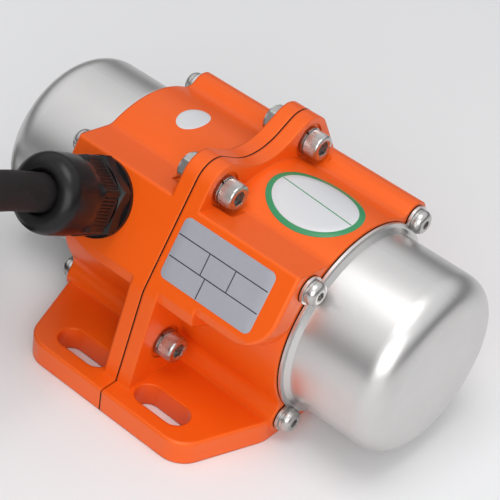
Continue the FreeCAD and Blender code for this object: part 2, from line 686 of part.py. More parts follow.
# ---------------------------------------------------------------- end caps
def cap_rim(body, start, thick, inside):
    """Flat rim with an ear at each screw, as on the cap and on its seal."""
    pad(body, circle(new_sketch(body, "YZ_Plane", start, True), "0", "0", "cap_flange_radius"), thick)
    ears = new_sketch(body, "YZ_Plane", start, True)
    for y, z in ear_places():
        circle(ears, y, z, "cap_ear_radius")
    pad(body, ears, thick)
    holes = new_sketch(body, "YZ_Plane", f"{start} - 1", True)
    circle(holes, "0", "0", inside)
    for y, z in ear_places():
        circle(holes, y, z, "cap_screw_radius + clamp_play")
    pocket(body, holes, f"{thick} + 2", True)


def end_cap(side):
    """Drawn cup with a rounded edge and a screwed rim."""
    body = new_body("end_cap_" + SIDE_NAME[side])
    cap_rim(body, CAP_SEAT, "sheet", "cap_radius - sheet")
    wall = polygon(new_sketch(body, "XZ_Plane", "0", True), [
        (CAP_SEAT, "cap_radius - sheet"),
        (CAP_SEAT, "cap_radius + cap_root_radius"),
        (CAP_FACE, "cap_radius + cap_root_radius"),
        (f"{CAP_FACE} + cap_root_radius", "cap_radius"),
        ("cap_end", "cap_radius", "cap_edge_radius"),
        ("cap_end", "0"),
        ("cap_end - sheet", "0"),
        ("cap_end - sheet", "cap_radius - sheet", "cap_edge_radius - sheet"),
    ])
    turned(body, "Revolution", wall)
    on_side(body, side)


def cap_seal(side):
    body = new_body("cap_seal_" + SIDE_NAME[side])
    cap_rim(body, "barrel_end", "seal_thick", "cap_radius - sheet")
    on_side(body, side)


def cap_screws(side):
    """Button-head screws, one at each ear."""
    body = new_body("cap_screws_" + SIDE_NAME[side])
    under_head = f"({CAP_FACE} + cap_washer_thick)"
    heads = new_sketch(body, "YZ_Plane", under_head, True)
    shanks = new_sketch(body, "YZ_Plane", f"{under_head} - cap_washer_thick - cap_screw_length", True)
    sockets = new_sketch(body, "YZ_Plane", f"{under_head} + button_height - button_socket_depth", True)
    for y, z in ear_places():
        circle(heads, y, z, "button_radius")
        circle(shanks, y, z, "cap_screw_radius")
        hexagon(sockets, y, z, "button_socket_flats")
    pad(body, heads, "button_height")
    face = size(f"{under_head} + button_height")
    softened(body, "button_round", lambda edge: lies_at_x(edge, face))
    pad(body, shanks, "cap_screw_length + cap_washer_thick + button_height / 3")
    pocket(body, sockets, "button_socket_depth + 1", True)
    on_side(body, side)


def cap_washers(side):
    body = new_body("cap_washers_" + SIDE_NAME[side])
    rings = new_sketch(body, "YZ_Plane", CAP_FACE, True)
    for y, z in ear_places():
        circle(rings, y, z, "cap_washer_radius")
        circle(rings, y, z, "cap_screw_radius + 5 * fit")
    pad(body, rings, "cap_washer_thick")
    on_side(body, side)


# ---------------------------------------------------------------- ball bearings
def bearing(side):
    """Deep-groove ball bearing: two rings, the balls and their cage."""
    name = SIDE_NAME[side]
    middle = "(bearing_shoulder + bearing_width / 2)"
    rings = (("bearing_outer_ring_", "outer_ring_inside", "bearing_radius"),
             ("bearing_inner_ring_", "bearing_bore_radius", "inner_ring_outside"))
    for prefix, inside, outside in rings:
        body = new_body(prefix + name)
        profile = polygon(new_sketch(body, "XZ_Plane", "0", True), [
            ("bearing_shoulder", inside), ("bearing_shoulder", outside),
            ("bearing_shoulder + bearing_width", outside), ("bearing_shoulder + bearing_width", inside),
        ])
        turned(body, "Revolution", profile)
        race = circle(new_sketch(body, "XZ_Plane", "0", True), middle, "ball_circle", "ball_radius + race_play")
        turned(body, "Groove", race)
        on_side(body, side)

    balls = new_body("bearing_balls_" + name)
    half = new_sketch(balls, "XZ_Plane", "0", True)
    half_disc(half, middle, "ball_circle", "ball_radius")
    ball = turned(balls, "Revolution", half, "V_Axis")
    # the half disc turns about its own straight side
    ball.ReferenceAxis = (half, ["Edge2"])
    repeated(balls, [ball], new_sketch(balls, "YZ_Plane", "0", True), "ball_count")
    on_side(balls, side)

    cage = new_body("bearing_cage_" + name)
    band = polygon(new_sketch(cage, "XZ_Plane", "0", True), [
        (f"{middle} - cage_half_width", "cage_inside"), (f"{middle} - cage_half_width", "cage_outside"),
        (f"{middle} + cage_half_width", "cage_outside"), (f"{middle} + cage_half_width", "cage_inside"),
    ])
    turned(cage, "Revolution", band)
    hollow = new_sketch(cage, "XZ_Plane", "0", True)
    half_disc(hollow, middle, "ball_circle", "ball_radius + race_play")
    seat = turned(cage, "Groove", hollow)
    seat.ReferenceAxis = (hollow, ["Edge2"])
    repeated(cage, [seat], new_sketch(cage, "YZ_Plane", "0", True), "ball_count")
    on_side(cage, side)


def half_disc(sketch, across, up, radius):
    """Half circle closed by its straight side, which lies along the sketch's first axis."""
    x, y, r = size(across), size(up), size(radius)
    arc = sketch.addGeometry(Part.ArcOfCircle(Part.Circle(V(x, y, 0), V(0, 0, 1), r), 0, math.pi))
    line = sketch.addGeometry(Part.LineSegment(V(x - r, y, 0), V(x + r, y, 0)))
    sketch.addConstraint(Sketcher.Constraint("Coincident", arc, 2, line, 1))
    sketch.addConstraint(Sketcher.Constraint("Coincident", line, 2, arc, 1))
    sketch.addConstraint(Sketcher.Constraint("Horizontal", line))
    sketch.addConstraint(Sketcher.Constraint("PointOnObject", arc, 3, line))
    bind_radius(sketch, arc, radius)
    pin(sketch, "DistanceX", arc, 3, across)
    pin(sketch, "DistanceY", arc, 3, up)


def bearing_clips():
    """Retaining rings that hold the bearings in their seats."""
    body = new_body("bearing_clips")
    for side in (RIGHT, LEFT):
        ring = new_sketch(body, "YZ_Plane", f"{side} * ({BORE_CLIP_START} + fit)", True)
        circle(ring, "0", "0", "bore_groove_radius - fit")
        circle(ring, "0", "0", "bore_clip_inside")
        pad(body, ring, "clip_thick", side == LEFT)
        mouth = new_sketch(body, "YZ_Plane", f"{side} * {BORE_CLIP_START}", True)
        polygon(mouth, [
            ("-clip_gap / 2", "0"), ("clip_gap / 2", "0"),
            ("clip_gap / 2", "bore_groove_radius + 1"), ("-clip_gap / 2", "bore_groove_radius + 1"),
        ])
        pocket(body, mouth, "clip_thick + 1", side == RIGHT)


# ---------------------------------------------------------------- stator
def slot_profile(sketch, mouth, floor_width, inner, floor_radius):
    """Slot that widens from its mouth to its floor."""
    return polygon(sketch, [
        (f"-({mouth}) / 2", inner), (f"-({mouth}) / 2", "stator_bore + 1.2"),
        (f"-({floor_width}) / 2", floor_radius), (f"({floor_width}) / 2", floor_radius),
        (f"({mouth}) / 2", "stator_bore + 1.2"), (f"({mouth}) / 2", inner),
    ])


def stator():
    core = new_body("stator_core")
    ring = new_sketch(core, "YZ_Plane", "-stator_half", True)
    circle(ring, "0", "0", "stator_radius")
    circle(ring, "0", "0", "stator_bore")
    pad(core, ring, "2 * stator_half")
    slot = new_sketch(core, "YZ_Plane", "-stator_half - 1", True)
    slot_profile(slot, "slot_mouth", "slot_floor", "stator_bore - 1", "slot_radius")
    cut = pocket(core, slot, "2 * stator_half + 2", True)
    repeated(core, [cut], slot, "slot_count")

    winding = new_body("stator_winding")
    for side in (RIGHT, LEFT):
        start, end = f"{side} * (stator_half + slot_liner)", f"{side} * winding_end"
        head = polygon(new_sketch(winding, "XZ_Plane", "0", True), [
            (start, "winding_inside"), (start, "winding_outside"),
            (end, "winding_outside", "winding_round"), (end, "winding_inside", "winding_round"),
        ])
        turned(winding, "Revolution", head)
    side_of_coil = new_sketch(winding, "YZ_Plane", "-stator_half - 1", True)
    polygon(side_of_coil, [
        ("-slot_mouth / 2 + slot_liner", "winding_inside + slot_mouth / 2"),
        ("-slot_floor / 2 + slot_liner", "slot_radius - slot_liner"),
        ("slot_floor / 2 - slot_liner", "slot_radius - slot_liner"),
        ("slot_mouth / 2 - slot_liner", "winding_inside + slot_mouth / 2"),
    ])
    bar = pad(winding, side_of_coil, "2 * stator_half + 2")
    repeated(winding, [bar], side_of_coil, "slot_count")


# ---------------------------------------------------------------- rotor
def shaft():
    """Stepped shaft with bearing seats, keyways and clip grooves, the same at both ends."""
    body = new_body("rotor_shaft")
    clip_end = f"({SHAFT_CLIP_START} + clip_thick + 2 * fit)"
    steps = [
        ("rotor_half", "core_seat_radius"), ("rotor_half", "shaft_shoulder_radius"),
        ("bearing_shoulder", "shaft_shoulder_radius"), ("bearing_shoulder", "bearing_bore_radius"),
        ("bearing_seat_end", "bearing_bore_radius"), ("bearing_seat_end", "shaft_end_radius"),
        (SHAFT_CLIP_START, "shaft_end_radius"), (SHAFT_CLIP_START, "shaft_groove_radius"),
        (clip_end, "shaft_groove_radius"), (clip_end, "shaft_end_radius"),
        ("shaft_end - shaft_chamfer", "shaft_end_radius"), ("shaft_end", "shaft_end_radius - shaft_chamfer"),
    ]
    # the core seat has one shoulder: the core is pressed on from the left and stops at the right
    left_steps = [step for step in steps if step != ("rotor_half", "shaft_shoulder_radius")]
    left_steps = [("rotor_half + end_ring_width", "core_seat_radius"),
                  ("rotor_half + end_ring_width", "shaft_shoulder_radius")] + left_steps[1:]
    outline = [(f"-({x})", r) for x, r in reversed(left_steps)] + steps
    outline = [("-shaft_end", "0")] + outline + [("shaft_end", "0")]
    turned(body, "Revolution", polygon(new_sketch(body, "XZ_Plane", "0", True), outline))
    for side in (RIGHT, LEFT):
        way = new_sketch(body, "YZ_Plane", f"{side} * fixed_weight_start", True)
        polygon(way, [
            ("-key_width / 2", "-shaft_end_radius - 1"), ("key_width / 2", "-shaft_end_radius - 1"),
            ("key_width / 2", "-shaft_end_radius + key_depth"),
            ("-key_width / 2", "-shaft_end_radius + key_depth"),
        ])
        pocket(body, way, "weight_thick", side == RIGHT)


def rotor_core():
    core = new_body("rotor_core")
    ring = new_sketch(core, "YZ_Plane", "-rotor_half", True)
    circle(ring, "0", "0", "rotor_radius")
    circle(ring, "0", "0", "core_seat_radius + fit")
    pad(core, ring, "2 * rotor_half")
    hole = circle(new_sketch(core, "YZ_Plane", "-rotor_half - 1", True), "0", "bar_circle", "bar_radius + fit")
    cut = pocket(core, hole, "2 * rotor_half + 2", True)
    repeated(core, [cut], hole, "bar_count")

    cage = new_body("rotor_cage")
    for side in (RIGHT, LEFT):
        ring = new_sketch(cage, "YZ_Plane", f"{side} * rotor_half", True)
        circle(ring, "0", "0", "end_ring_outside")
        circle(ring, "0", "0", "end_ring_inside")
        pad(cage, ring, "end_ring_width", side == LEFT)
    bar_end = circle(new_sketch(cage, "YZ_Plane", "-rotor_half - 1", True), "0", "bar_circle", "bar_radius")
    bar = pad(cage, bar_end, "2 * rotor_half + 2")
    repeated(cage, [bar], bar_end, "bar_count")


# ---------------------------------------------------------------- eccentric weights
def weight(label, start, side, keyed):
    """Heavy half disc under a clamping hub; the keyed one also has a keyway."""
    body = new_body(label)
    pad(body, circle(new_sketch(body, "YZ_Plane", start, True), "0", "0", "weight_radius"), "weight_thick")
    light_side = polygon(new_sketch(body, "YZ_Plane", start, True), [
        ("-weight_radius - 1", "-weight_chord"), ("weight_radius + 1", "-weight_chord"),
        ("weight_radius + 1", "weight_radius + 1"), ("-weight_radius - 1", "weight_radius + 1"),
    ])
    pocket(body, light_side, "weight_thick", True)
    pad(body, circle(new_sketch(body, "YZ_Plane", start, True), "0", "0", "hub_radius"), "weight_thick")
    lug = polygon(new_sketch(body, "YZ_Plane", start, True), [
        ("-lug_half_width", "0"), ("lug_half_width", "0"),
        ("lug_half_width", "lug_height", "lug_half_width / 4"),
        ("-lug_half_width", "lug_height", "lug_half_width / 4"),
    ])
    pad(body, lug, "weight_thick")
    bore = circle(new_sketch(body, "YZ_Plane", start, True), "0", "0", "shaft_end_radius + fit")
    pocket(body, bore, "weight_thick", True)
    slit = polygon(new_sketch(body, "YZ_Plane", start, True), [
        ("-clamp_slit / 2", "0"), ("clamp_slit / 2", "0"),
        ("clamp_slit / 2", "lug_height + 1"), ("-clamp_slit / 2", "lug_height + 1"),
    ])
    pocket(body, slit, "weight_thick", True)
    cross = new_sketch(body, "XZ_Plane", "-lug_half_width - 1", True)
    circle(cross, f"{start} + weight_thick / 2", "clamp_height", "clamp_radius + clamp_play")
    pocket(body, cross, "2 * lug_half_width + 2", True)
    if keyed:
        way = polygon(new_sketch(body, "YZ_Plane", start, True), [
            ("-key_width / 2 - fit", "-shaft_end_radius + 1"), ("key_width / 2 + fit", "-shaft_end_radius + 1"),
            ("key_width / 2 + fit", "-shaft_end_radius + key_depth - key_height - fit"),
            ("-key_width / 2 - fit", "-shaft_end_radius + key_depth - key_height - fit"),
        ])
        pocket(body, way, "weight_thick", True)
    on_side(body, side)


def clamp_screw(label, start, side):
    """Socket screw across the lug, its head on the lug's rear face."""
    body = new_body(label)
    middle = f"{start} + weight_thick / 2"
    shank = circle(new_sketch(body, "XZ_Plane", "-lug_half_width", True), middle, "clamp_height", "clamp_radius")
    pad(body, shank, "2 * lug_half_width")
    head = new_sketch(body, "XZ_Plane", "-lug_half_width", True)
    pad(body, circle(head, middle, "clamp_height", "clamp_head_radius"), "clamp_head_height", True)
    on_side(body, side)


def shaft_furniture():
    """Keys of the fixed weights and the retaining rings outside the adjustable ones."""
    keys = new_body("weight_keys")
    clips = new_body("shaft_clips")
    for side in (RIGHT, LEFT):
        bar = new_sketch(keys, "YZ_Plane", f"{side} * fixed_weight_start", True)
        polygon(bar, [
            ("-key_width / 2", "-shaft_end_radius + key_depth"),
            ("key_width / 2", "-shaft_end_radius + key_depth"),
            ("key_width / 2", "-shaft_end_radius + key_depth - key_height"),
            ("-key_width / 2", "-shaft_end_radius + key_depth - key_height"),
        ])
        pad(keys, bar, "weight_thick", side == LEFT)
        ring = new_sketch(clips, "YZ_Plane", f"{side} * ({SHAFT_CLIP_START} + fit)", True)
        circle(ring, "0", "0", "shaft_clip_radius")
        circle(ring, "0", "0", "shaft_groove_radius + fit")
        pad(clips, ring, "clip_thick", side == LEFT)
        mouth = new_sketch(clips, "YZ_Plane", f"{side} * {SHAFT_CLIP_START}", True)
        polygon(mouth, [
            ("-clip_gap / 2", "0"), ("clip_gap / 2", "0"),
            ("clip_gap / 2", "shaft_clip_radius + 1"), ("-clip_gap / 2", "shaft_clip_radius + 1"),
        ])
        pocket(clips, mouth, "clip_thick + 1", side == RIGHT)


# ---------------------------------------------------------------- cable gland
GLAND_TURN = FreeCAD.Rotation(V(1, 0, 0), 90 - size("pad_tilt"))
GLAND_AXIS = GLAND_TURN.multVec(V(0, 0, 1))
GLAND_FOOT = V(-size("gland_x"), 0, size("axis_height")) \
    + GLAND_AXIS * size(PAD_FACE)


def on_gland_axis(body):
    """Pieces of the gland are made on Z and stand square on the pad."""
    body.Placement = FreeCAD.Placement(GLAND_FOOT, GLAND_TURN)
    return body


def hexagon_corners_cut(body, flats, low, high, slope=0.6):
    """Turned chamfers at both ends of a hexagon."""
    inner, outer = f"(({flats}) / 2)", f"(({flats}) / 2 / cos(30) + 0.5)"
    for end, way in ((low, 1), (high, -1)):
        wedge = polygon(new_sketch(body, "XZ_Plane"), [
            (inner, f"({end}) - {way} * 0.5"), (outer, f"({end}) - {way} * 0.5"),
            (outer, f"({end}) + {way} * {slope} * ({outer} - {inner})"), (inner, end),
        ])
        turned(body, "Groove", wedge, "V_Axis")


def gland():
    """Cable gland: washer, body, rubber bush and domed nut."""
    washer = new_body("gland_washer")
    ring = new_sketch(washer, "XY_Plane")
    circle(ring, "0", "0", "gland_washer_radius")
    circle(ring, "0", "0", "gland_thread_radius + fit")
    pad(washer, ring, "gland_washer_thick")
    on_gland_axis(washer)

    body = new_body("gland_body")
    pad(body, hexagon(new_sketch(body, "XY_Plane", "gland_washer_thick"), "0", "0", "gland_hex_flats", 32),
        "gland_hex_top - gland_washer_thick")
    hexagon_corners_cut(body, "gland_hex_flats", "gland_washer_thick", "gland_hex_top")
    stem = new_sketch(body, "XY_Plane", "-gland_thread_length")
    pad(body, circle(stem, "0", "0", "gland_thread_radius"), "gland_thread_length + gland_washer_thick")
    neck = new_sketch(body, "XY_Plane", "gland_hex_top")
    pad(body, circle(neck, "0", "0", "gland_neck_radius"), "gland_neck_top - gland_hex_top")
    bore = new_sketch(body, "XY_Plane", "-gland_thread_length - 1")
    pocket(body, circle(bore, "0", "0", "gland_bore_radius"), "gland_thread_length + gland_neck_top + 2", True)
    on_gland_axis(body)

    nut = new_body("gland_nut")
    pad(nut, hexagon(new_sketch(nut, "XY_Plane", "gland_nut_start"), "0", "0", "gland_nut_flats", 32),
        "gland_nut_hex_top - gland_nut_start")
    hexagon_corners_cut(nut, "gland_nut_flats", "gland_nut_start", "gland_nut_hex_top")
    dome = polygon(new_sketch(nut, "XZ_Plane"), [
        ("0", "gland_nut_hex_top - 3"), ("gland_nut_flats / 2", "gland_nut_hex_top - 3"),
        ("gland_dome_radius", "gland_nut_hex_top + 3"),
        ("gland_dome_radius", "gland_top", "gland_dome_round"), ("0", "gland_top"),
    ])
    turned(nut, "Revolution", dome, "V_Axis")
    room = polygon(new_sketch(nut, "XZ_Plane"), [
        ("0", "gland_nut_start - 1"), ("gland_room_radius", "gland_nut_start - 1"),
        ("gland_room_radius", "gland_top - 2 * gland_front_wall"),
        ("gland_mouth_radius", "gland_top - gland_front_wall"), ("gland_mouth_radius", "gland_top + 1"),
        ("0", "gland_top + 1"),
    ])
    turned(nut, "Groove", room, "V_Axis")
    on_gland_axis(nut)

    bush = new_body("gland_seal")
    outline = polygon(new_sketch(bush, "XZ_Plane"), [
        ("cable_radius + seal_play", "gland_neck_top + seal_play"), ("seal_radius", "gland_neck_top + seal_play"),
        ("seal_radius", "gland_top - 2 * gland_front_wall - 3 * seal_play"),
        ("gland_mouth_radius - seal_play", "gland_top - gland_front_wall - 3 * seal_play"),
        ("cable_radius + seal_play", "gland_top - gland_front_wall - 3 * seal_play"),
    ])
    turned(bush, "Revolution", outline, "V_Axis")
    on_gland_axis(bush)


# ---------------------------------------------------------------- cable
def gland_point(distance):
    return GLAND_FOOT + GLAND_AXIS * distance


# the free route beyond the gland: straight out, then down in an open curve to the coil's upper turn
CABLE_ROUTE = [
    gland_point(-size("cable_inner_end")),
    gland_point(60.0),
    V(-34.8, -133.3, 92.8),
    V(-43.2, -168.5, 74.7),
    V(-68.7, -193.0, 43.0),
    V(-111.5, -193.07, 20.25),
    V(-153.65, -174.4, 20.25),
]


def feature(label, shape):
    item = doc.addObject("Part::Feature", label)
    item.Label = label
    item.Shape = shape
    return item


def rounded_path(points):
    """Straight runs joined by tangent arcs, each as large as its two runs allow; prints the radii."""
    edges, start = [], points[0]
    for before, corner, after in zip(points, points[1:], points[2:]):
        run_in, run_out = corner - before, after - corner
        half_turn = run_in.getAngle(run_out) / 2
        cut = 0.45 * min(run_in.Length, run_out.Length)
        into = corner - FreeCAD.Vector(run_in).normalize() * cut
        out = corner + FreeCAD.Vector(run_out).normalize() * cut
        bulge = (into + out) * 0.5
        radius = cut / math.tan(half_turn)
        depth = radius / math.cos(half_turn) - radius
        middle = corner + (bulge - corner).normalize() * depth
        print(f"cable arc radius {radius:.1f} mm, run {run_in.Length:.1f} mm")
        edges += [Part.LineSegment(start, into).toShape(), Part.Arc(into, middle, out).toShape()]
        start = out
    edges.append(Part.LineSegment(start, points[-1]).toShape())
    return Part.Wire(edges)


def tube_along(wire, radius):
    start = wire.Edges[0].firstVertex().Point
    direction = wire.Edges[0].tangentAt(wire.Edges[0].FirstParameter)
    ring = Part.Wire(Part.Circle(start, direction, radius).toShape())
    tube = wire.makePipeShell([ring], True, False)
    ideal = math.pi * radius ** 2 * wire.Length
    if abs(tube.Volume / ideal - 1) > 0.01:
        raise RuntimeError("the cable's volume is off")
    return tube


def supply_cable():
    path = rounded_path(CABLE_ROUTE)
    print(f"cable up to the coil {path.Length:.0f} mm")
    feature("supply_cable", tube_along(path, size("cable_radius")))


def coil_frame():
    """Centre of the coil, the angle where its upper turn starts, and the way to its floor."""
    heading = (CABLE_ROUTE[-1] - CABLE_ROUTE[-2]).normalize()
    to_centre = heading.cross(V(0, 0, 1))
    centre = CABLE_ROUTE[-1] + to_centre * size("coil_radius")
    start = CABLE_ROUTE[-1] - centre
    return V(centre.x, centre.y, 0), math.degrees(math.atan2(start.y, start.x)), heading


def cable_coil():
    """Outer shape of the put-away turns: one ring of stacked turns, open where the cable comes in."""
    centre, start_angle, heading = coil_frame()
    radius, wide = size("coil_radius"), size("cable_radius")
    height = 2 * wide * size("coil_turns")
    inward = (centre - V(CABLE_ROUTE[-1].x, CABLE_ROUTE[-1].y, 0)).normalize()
    at = V(CABLE_ROUTE[-1].x, CABLE_ROUTE[-1].y, 0)
    corners = [at - inward * wide, at + inward * wide]
    corners += [corners[1] + V(0, 0, height), corners[0] + V(0, 0, height)]
    section = Part.Face(Part.makePolygon(corners + corners[:1]))
    ring = section.revolve(centre, V(0, 0, -1), size("coil_sweep"))
    feature("cable_coil", ring)
    print(f"coil holds {2 * math.pi * radius * size('coil_turns'):.0f} mm")


def three_cores(start, direction, length, radius, circle_radius):
    """Three insulated cores side by side round an axis."""
    across = direction.cross(V(0, 0, 1)).normalize()
    upward = across.cross(direction)
    cores = []
    for step in range(3):
        angle = math.radians(120 * step + 90)
        offset = (across * math.cos(angle) + upward * math.sin(angle)) * circle_radius
        cores.append(Part.makeCylinder(radius, length, start + offset, direction))
    return Part.makeCompound(cores)


def cable_cores():
    """Bare cores inside the housing, and those at the cable's free end."""
    radius, ring = size("core_wire_radius"), size("core_wire_circle")
    inner = gland_point(-size("cable_inner_end"))
    feature("motor_lead_wires", three_cores(inner, GLAND_AXIS * -1, size("core_wire_reach"), radius, ring))
    centre, start_angle, heading = coil_frame()
    turn = FreeCAD.Rotation(V(0, 0, -1), size("coil_sweep"))
    end = centre + turn.multVec(V(CABLE_ROUTE[-1].x, CABLE_ROUTE[-1].y, 0) - centre)
    end.z = size("cable_radius")
    feature("cable_end_wires", three_cores(end, turn.multVec(heading), size("lead_reach"), radius, ring))


# ---------------------------------------------------------------- assembly
for one_side in (RIGHT, LEFT):
    housing_half(one_side)
flange_gasket()
flange_fasteners()
for one_side in (RIGHT, LEFT):
    end_cap(one_side)
    cap_seal(one_side)
    cap_screws(one_side)
    cap_washers(one_side)
    bearing(one_side)
    weight("fixed_weight_" + SIDE_NAME[one_side], "fixed_weight_start", one_side, True)
    clamp_screw("fixed_weight_screw_" + SIDE_NAME[one_side], "fixed_weight_start", one_side)
    weight("adjustable_weight_" + SIDE_NAME[one_side], ADJUSTABLE_START, one_side, False)
    clamp_screw("adjustable_weight_screw_" + SIDE_NAME[one_side], ADJUSTABLE_START, one_side)
bearing_clips()
stator()
shaft()
rotor_core()
shaft_furniture()
gland()
supply_cable()
cable_coil()
cable_cores()
doc.recompute()

# ---------------------------------------------------------------- checks and export
failed = [item.Name for item in doc.Objects if {"Invalid", "Error"} & set(item.State)]
nodes = [item for item in doc.Objects if item.TypeId in ("PartDesign::Body", "Part::Feature")]
for item in nodes:
    if item.Shape.isNull() or not item.Shape.isValid():
        failed.append(item.Label)
if failed:
    raise RuntimeError("failed: " + ", ".join(failed))

os.makedirs("parts", exist_ok=True)
for item in nodes:
    item.Shape.exportStep(os.path.join("parts", item.Label + ".step"))
print(f"{len(nodes)} nodes written")
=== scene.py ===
"""Dressed scene of a small vibration motor: cast housing, steel caps, cable gland and cable.

Lengths are in millimetres, except where a docstring or a name says otherwise.
"""
import logging
import math
from dataclasses import dataclass, field
from enum import Enum
from functools import cached_property
from typing import Callable, Iterable, Iterator, Optional, Sequence, Union

import bmesh
import bpy
from mathutils import Matrix, Vector


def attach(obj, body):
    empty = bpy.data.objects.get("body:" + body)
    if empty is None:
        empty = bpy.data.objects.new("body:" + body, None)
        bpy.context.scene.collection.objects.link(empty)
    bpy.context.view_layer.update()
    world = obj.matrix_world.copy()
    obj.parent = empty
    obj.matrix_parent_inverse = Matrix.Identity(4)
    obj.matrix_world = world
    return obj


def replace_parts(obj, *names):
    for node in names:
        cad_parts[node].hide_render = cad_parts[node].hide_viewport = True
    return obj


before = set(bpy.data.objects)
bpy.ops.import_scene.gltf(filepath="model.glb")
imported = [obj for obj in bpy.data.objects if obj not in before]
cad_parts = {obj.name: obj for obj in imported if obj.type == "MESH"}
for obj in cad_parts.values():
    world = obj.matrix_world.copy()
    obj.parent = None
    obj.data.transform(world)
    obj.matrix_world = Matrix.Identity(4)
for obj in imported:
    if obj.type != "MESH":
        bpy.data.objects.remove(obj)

logging.basicConfig(level=logging.INFO, format="%(message)s")
LOG = logging.getLogger("vibration_motor")

MM = 0.001
AXIS_HEIGHT = 39.1
SLOPE = 29.0
PAD_OUT = Vector((0, -math.cos(math.radians(SLOPE)), math.sin(math.radians(SLOPE))))
PAD_UP = Vector((0, math.sin(math.radians(SLOPE)), math.cos(math.radians(SLOPE))))
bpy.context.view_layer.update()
Triple = tuple[float, float, float]
Pair = tuple[float, float]
Profile = tuple[Pair, ...]
NodeTable = tuple[tuple["Finish", tuple[str, ...]], ...]
AngleRule = Callable[[float], float]
RadiusRule = Union[float, AngleRule]
LiftRule = Callable[[Vector, float], Vector]
Mesh = bmesh.types.BMesh
Node = bpy.types.Node
NodeTree = bpy.types.NodeTree
Socket = bpy.types.NodeSocket
Term = Union[float, Socket]
GroupEnds = tuple["NodeSheet", Node, Node]


def add_object(name: str, data: bpy.types.ID) -> bpy.types.Object:
    """New object in the scene that shows some data."""
    item = bpy.data.objects.new(name, data)
    bpy.context.scene.collection.objects.link(item)
    return item


def mm(x: float, y: float, z: float) -> Vector:
    """A point of the motor's frame, turned from millimetres to metres."""
    return Vector((x, y, z)) * MM


# ---- node groups
@dataclass
class NodeSheet:
    """Small helper that adds and joins the nodes of one tree."""

    tree: NodeTree

    def add(self, kind: str, **settings: object) -> Node:
        """Add a node.

        Args:
            kind: the node's type name.
            settings: attributes, then input values where the name starts with "in_".

        Returns:
            The new node.
        """
        node = self.tree.nodes.new(kind)
        for name, value in settings.items():
            if name.startswith("in_"):
                node.inputs[name[3:].replace("_", " ")].default_value = value
            else:
                setattr(node, name, value)
        return node

    def join(self, source: Term, target: Socket) -> None:
        """Link one socket to another, or set it to a number."""
        if isinstance(source, Socket):
            self.tree.links.new(source, target)
        else:
            target.default_value = source

    def maths(self, operation: str, *terms: Term) -> Socket:
        """One Math node.

        Args:
            operation: the operation's name.
            terms: numbers or sockets, in order.

        Returns:
            The node's value socket.
        """
        node = self.add("ShaderNodeMath", operation=operation)
        for index, term in enumerate(terms):
            self.join(term, node.inputs[index])
        return node.outputs[0]

    def noise(self, scale: Socket, **values: float) -> Socket:
        """Noise over the object's own coordinates.

        Args:
            scale: the socket that sets its scale.
            values: its other inputs, named as for add.

        Returns:
            The noise's value socket.
        """
        place = self.add("ShaderNodeTexCoord")
        node = self.add("ShaderNodeTexNoise", **values)
        self.join(place.outputs["Object"], node.inputs["Vector"])
        self.join(scale, node.inputs["Scale"])
        return node.outputs["Fac"]


